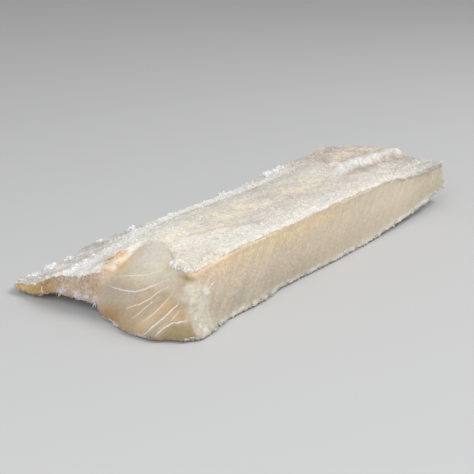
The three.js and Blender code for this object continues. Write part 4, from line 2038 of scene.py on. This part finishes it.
@dataclass(frozen=True)
class Studio:
    """Camera, floor and soft light.

    Args:
        camera_mm: the camera's place in the form's millimetres.
        pitch_deg: how far it looks down.
        heading_deg: its heading, counted from +X towards +Y.
        lens_mm: its focal length.
        sensor_mm: width of its sensor.
        clip: nearest and farthest that it sees, in metres.
        floor_size: half the floor's width, in metres.
        floor_drop_mm: how far the floor lies below the loin.
        floor_tone: the floor's colour.
        lights: the soft lights.
        sky: strength of the plain white sky.
    """

    camera_mm: tuple[float, float, float] = (-394.7, -319.0, 236.5)
    pitch_deg: float = 19.0
    heading_deg: float = 36.5
    lens_mm: float = 72.15
    sensor_mm: float = 36
    clip: tuple[float, float] = (0.02, 20)
    floor_size: float = 6
    floor_drop_mm: float = 0.2
    floor_tone: Colour = (0.62, 0.62, 0.62)
    lights: tuple[SoftLight, ...] = (
        SoftLight("key", (0.5, -1.0, 1.5), 15.9, 0.9),
        SoftLight("fill", (-1.1, -0.4, 0.8), 7.2, 1.0, (0.95, 0.975, 1.0)),
    )
    sky: float = 0.44

    def _camera(self, shift: Vector) -> None:
        """Places the camera.

        Args:
            shift: from the form's millimetres to the part's frame.
        """
        data = bpy.data.cameras.new("camera")
        data.sensor_width = self.sensor_mm
        data.lens = self.lens_mm
        data.clip_start, data.clip_end = self.clip
        camera = bpy.data.objects.new("camera", data)
        bpy.context.scene.collection.objects.link(camera)
        pitch, heading = math.radians(self.pitch_deg), math.radians(self.heading_deg)
        level = math.cos(pitch)
        look = Vector((math.cos(heading) * level, math.sin(heading) * level, -math.sin(pitch)))
        camera.location = (Vector(self.camera_mm) + shift) * MM
        camera.rotation_euler = look.to_track_quat("-Z", "Y").to_euler()
        bpy.context.scene.camera = camera

    def _floor(self) -> None:
        """Lays a plain pale floor."""
        made = bmesh.new()
        bmesh.ops.create_grid(made, x_segments=1, y_segments=1, size=self.floor_size)
        floor = new_object("floor", made)
        floor.location.z = -self.floor_drop_mm * MM
        plain = bpy.data.materials.new("floor")
        plain.use_nodes = True
        shader = plain.node_tree.nodes["Principled BSDF"]
        shader.inputs["Base Color"].default_value = (*self.floor_tone, 1)
        shader.inputs["Roughness"].default_value = 0.9
        floor.data.materials.append(plain)

    def _sky(self) -> None:
        """Puts a plain white sky around everything."""
        world = bpy.data.worlds.new("studio")
        world.use_nodes = True
        background = world.node_tree.nodes["Background"]
        background.inputs["Color"].default_value = (1, 1, 1, 1)
        background.inputs["Strength"].default_value = self.sky
        bpy.context.scene.world = world

    def build(self, shift: Vector) -> None:
        """Makes camera, floor, lights and sky.

        Args:
            shift: from the form's millimetres to the part's frame.
        """
        self._camera(shift)
        self._floor()
        for light in self.lights:
            light.build()
        self._sky()
        bpy.context.scene.view_settings.view_transform = "Standard"


@dataclass
class Cod:
    """Args:
        form: the loin's form.
        tones: its tones.
        give_mm: how close to the CAD box's sides places are eased off.
        shift: from the form's millimetres to the part's frame, known once the body is built.
    """

    form: LoinForm = field(default_factory=LoinForm)
    tones: Tones = field(default_factory=Tones)
    give_mm: float = 0.8
    shift: Vector = field(default_factory=Vector)

    def __post_init__(self) -> None:
        """Reads the CAD part's box from the frame."""
        self.low, self.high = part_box(NODE)

    def _settle(self, piece: bpy.types.Object, material: bpy.types.Material) -> None:
        """Moves a piece into the part's frame, keeps it in the CAD box, and dresses it.

        Args:
            piece: the piece in the form's millimetres.
            material: its finish.
        """
        mesh = piece.data
        co = np.empty(len(mesh.vertices) * 3, np.float32)
        mesh.vertices.foreach_get("co", co)
        co = (co.reshape(-1, 3) + np.array(self.shift)) * MM
        co = self._kept_inside(co)
        mesh.vertices.foreach_set("co", co.ravel())
        mesh.update()
        mesh.materials.append(material)
        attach(piece, "root")
        log.info("%s: %d faces", piece.name, len(mesh.polygons))

    def _kept_inside(self, co: np.ndarray) -> np.ndarray:
        """Eases places off before they reach the CAD box's sides, so that no two layers share a plane.

        Args:
            co: the places in metres, shape (n, 3).

        Returns:
            The places inside the box, shape (n, 3).
        """
        low, high, give = np.array(self.low), np.array(self.high), self.give_mm * MM
        over = np.maximum(co - (high - give), 0)
        under = np.maximum((low + give) - co, 0)
        under[:, 2] = 0
        eased = np.clip(co, low + give, high - give) + give * (np.exp(-under / give) - np.exp(-over / give))
        resting = co[:, 2] < low[2] + give
        eased[:, 2] = np.where(resting, np.maximum(co[:, 2], low[2]), eased[:, 2])
        return eased

    def _fringes(self) -> tuple[Fringe, ...]:
        """Lists the rows of torn fibre.

        Returns:
            The rows along the flap, the foot of the thick cut, the back cut and the tail cut.
        """
        t = self.tones
        return (
            Fringe(Side.THICK_CUT, (0.47, 0.02), (0.97, 0.12), 70, (0.6, 1.7), 1.2, t.brown),
            Fringe(Side.THICK_CUT, (0.815, 0.02), (0.835, 0.1), 3, (1.4, 2.2), 2.0, t.frost),
            Fringe(Side.THICK_CUT, (0.695, 0.02), (0.71, 0.1), 2, (1.6, 2.4), 2.0, t.frost),
            Fringe(Side.THICK_CUT, (0.485, 0.02), (0.495, 0.1), 3, (2.8, 4.0), 3.0, t.frost),
            Fringe(Side.THICK_CUT, (0.57, 0.82), (0.59, 0.74), 5, (1.2, 2.4), 2.5, t.crust),
            Fringe(Side.THICK_CUT, (0.45, 0.80), (0.70, 0.88), 26, (0.6, 1.5), 1.0, t.crust),
            Fringe(Side.THICK_CUT, (0.0, 0.02), (0.15, 0.08), 60, (0.7, 1.8), 0.15, t.ochre),
            Fringe(Side.THICK_CUT, (0.12, 0.02), (0.44, 0.08), 80, (0.5, 1.3), 0.15, t.frost),
            Fringe(Side.BACK_CUT, (0.0, 0.02), (0.99, 0.08), 700, (0.7, 2.0), 0.1, t.frost),
            Fringe(Side.TAIL_CUT, (0.0, 0.05), (0.0, 0.95), 60, (0.6, 1.6), 0.1, t.frost),
            Fringe(Side.TAIL_CUT, (0.0, 0.01), (0.95, 0.06), 90, (0.6, 1.6), 0.1, t.frost),
        )

    def _grains(self, surface: Surface) -> tuple[SaltLumps, SaltLumps]:
        """Sorts the salt that is bedded in the skin.

        Args:
            surface: the skin.

        Returns:
            The larger lumps and the fine grains.
        """
        lumps = SaltLumps(
            name="salt_lumps",
            grain=Grain.PEBBLE,
            surface=surface,
            tones=self.tones,
            count=1200,
            size_mm=(1.0, 3.2),
            bare_share=0.003,
            rim_share=2.0,
            sunk=0.62,
            own_tone=0.3,
            seed=5,
        )
        grains = SaltLumps(
            name="salt_grains",
            grain=Grain.CUBE,
            surface=surface,
            tones=self.tones,
            count=6500,
            size_mm=(0.35, 0.9),
            bare_share=0.03,
            rim_share=1.2,
            sunk=0.55,
            own_tone=0.25,
            seed=6,
        )
        return lumps, grains

    def build(self) -> None:
        """Makes every piece of the loin."""
        flesh, salt, seam = FLESH.material(), SALT.material(), SEAM.material()
        body, surface = LoinBody(self.form, self.tones, THICK_SEAMS).build()
        middle = (surface.points.min(0) + surface.points.max(0)) / 2
        box_middle = (np.array(self.low) + np.array(self.high)) / 2 / MM
        self.shift = Vector((box_middle[0] - middle[0], box_middle[1] - middle[1], self.low[2] / MM))
        log.info("shift %s, size %s", tuple(self.shift), tuple(np.ptp(surface.points, axis=0)))
        self._settle(body, flesh)
        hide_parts(NODE)
        self._settle(Seams(self.form, self.tones).build(), seam)
        self._settle(TornEnds(self.form, self._fringes()).build(), seam)
        self._settle(EdgeClusters(self.form, self.tones).build(), salt)
        for grains in self._grains(surface):
            self._settle(grains.build(), salt)


def main() -> None:
    """Builds the loin, then the studio."""
    logging.basicConfig(level=logging.INFO, format="%(relativeCreated)d %(name)s %(message)s")
    cod = Cod()
    cod.build()
    Studio().build(cod.shift)


if __name__ == "__main__":
    main()
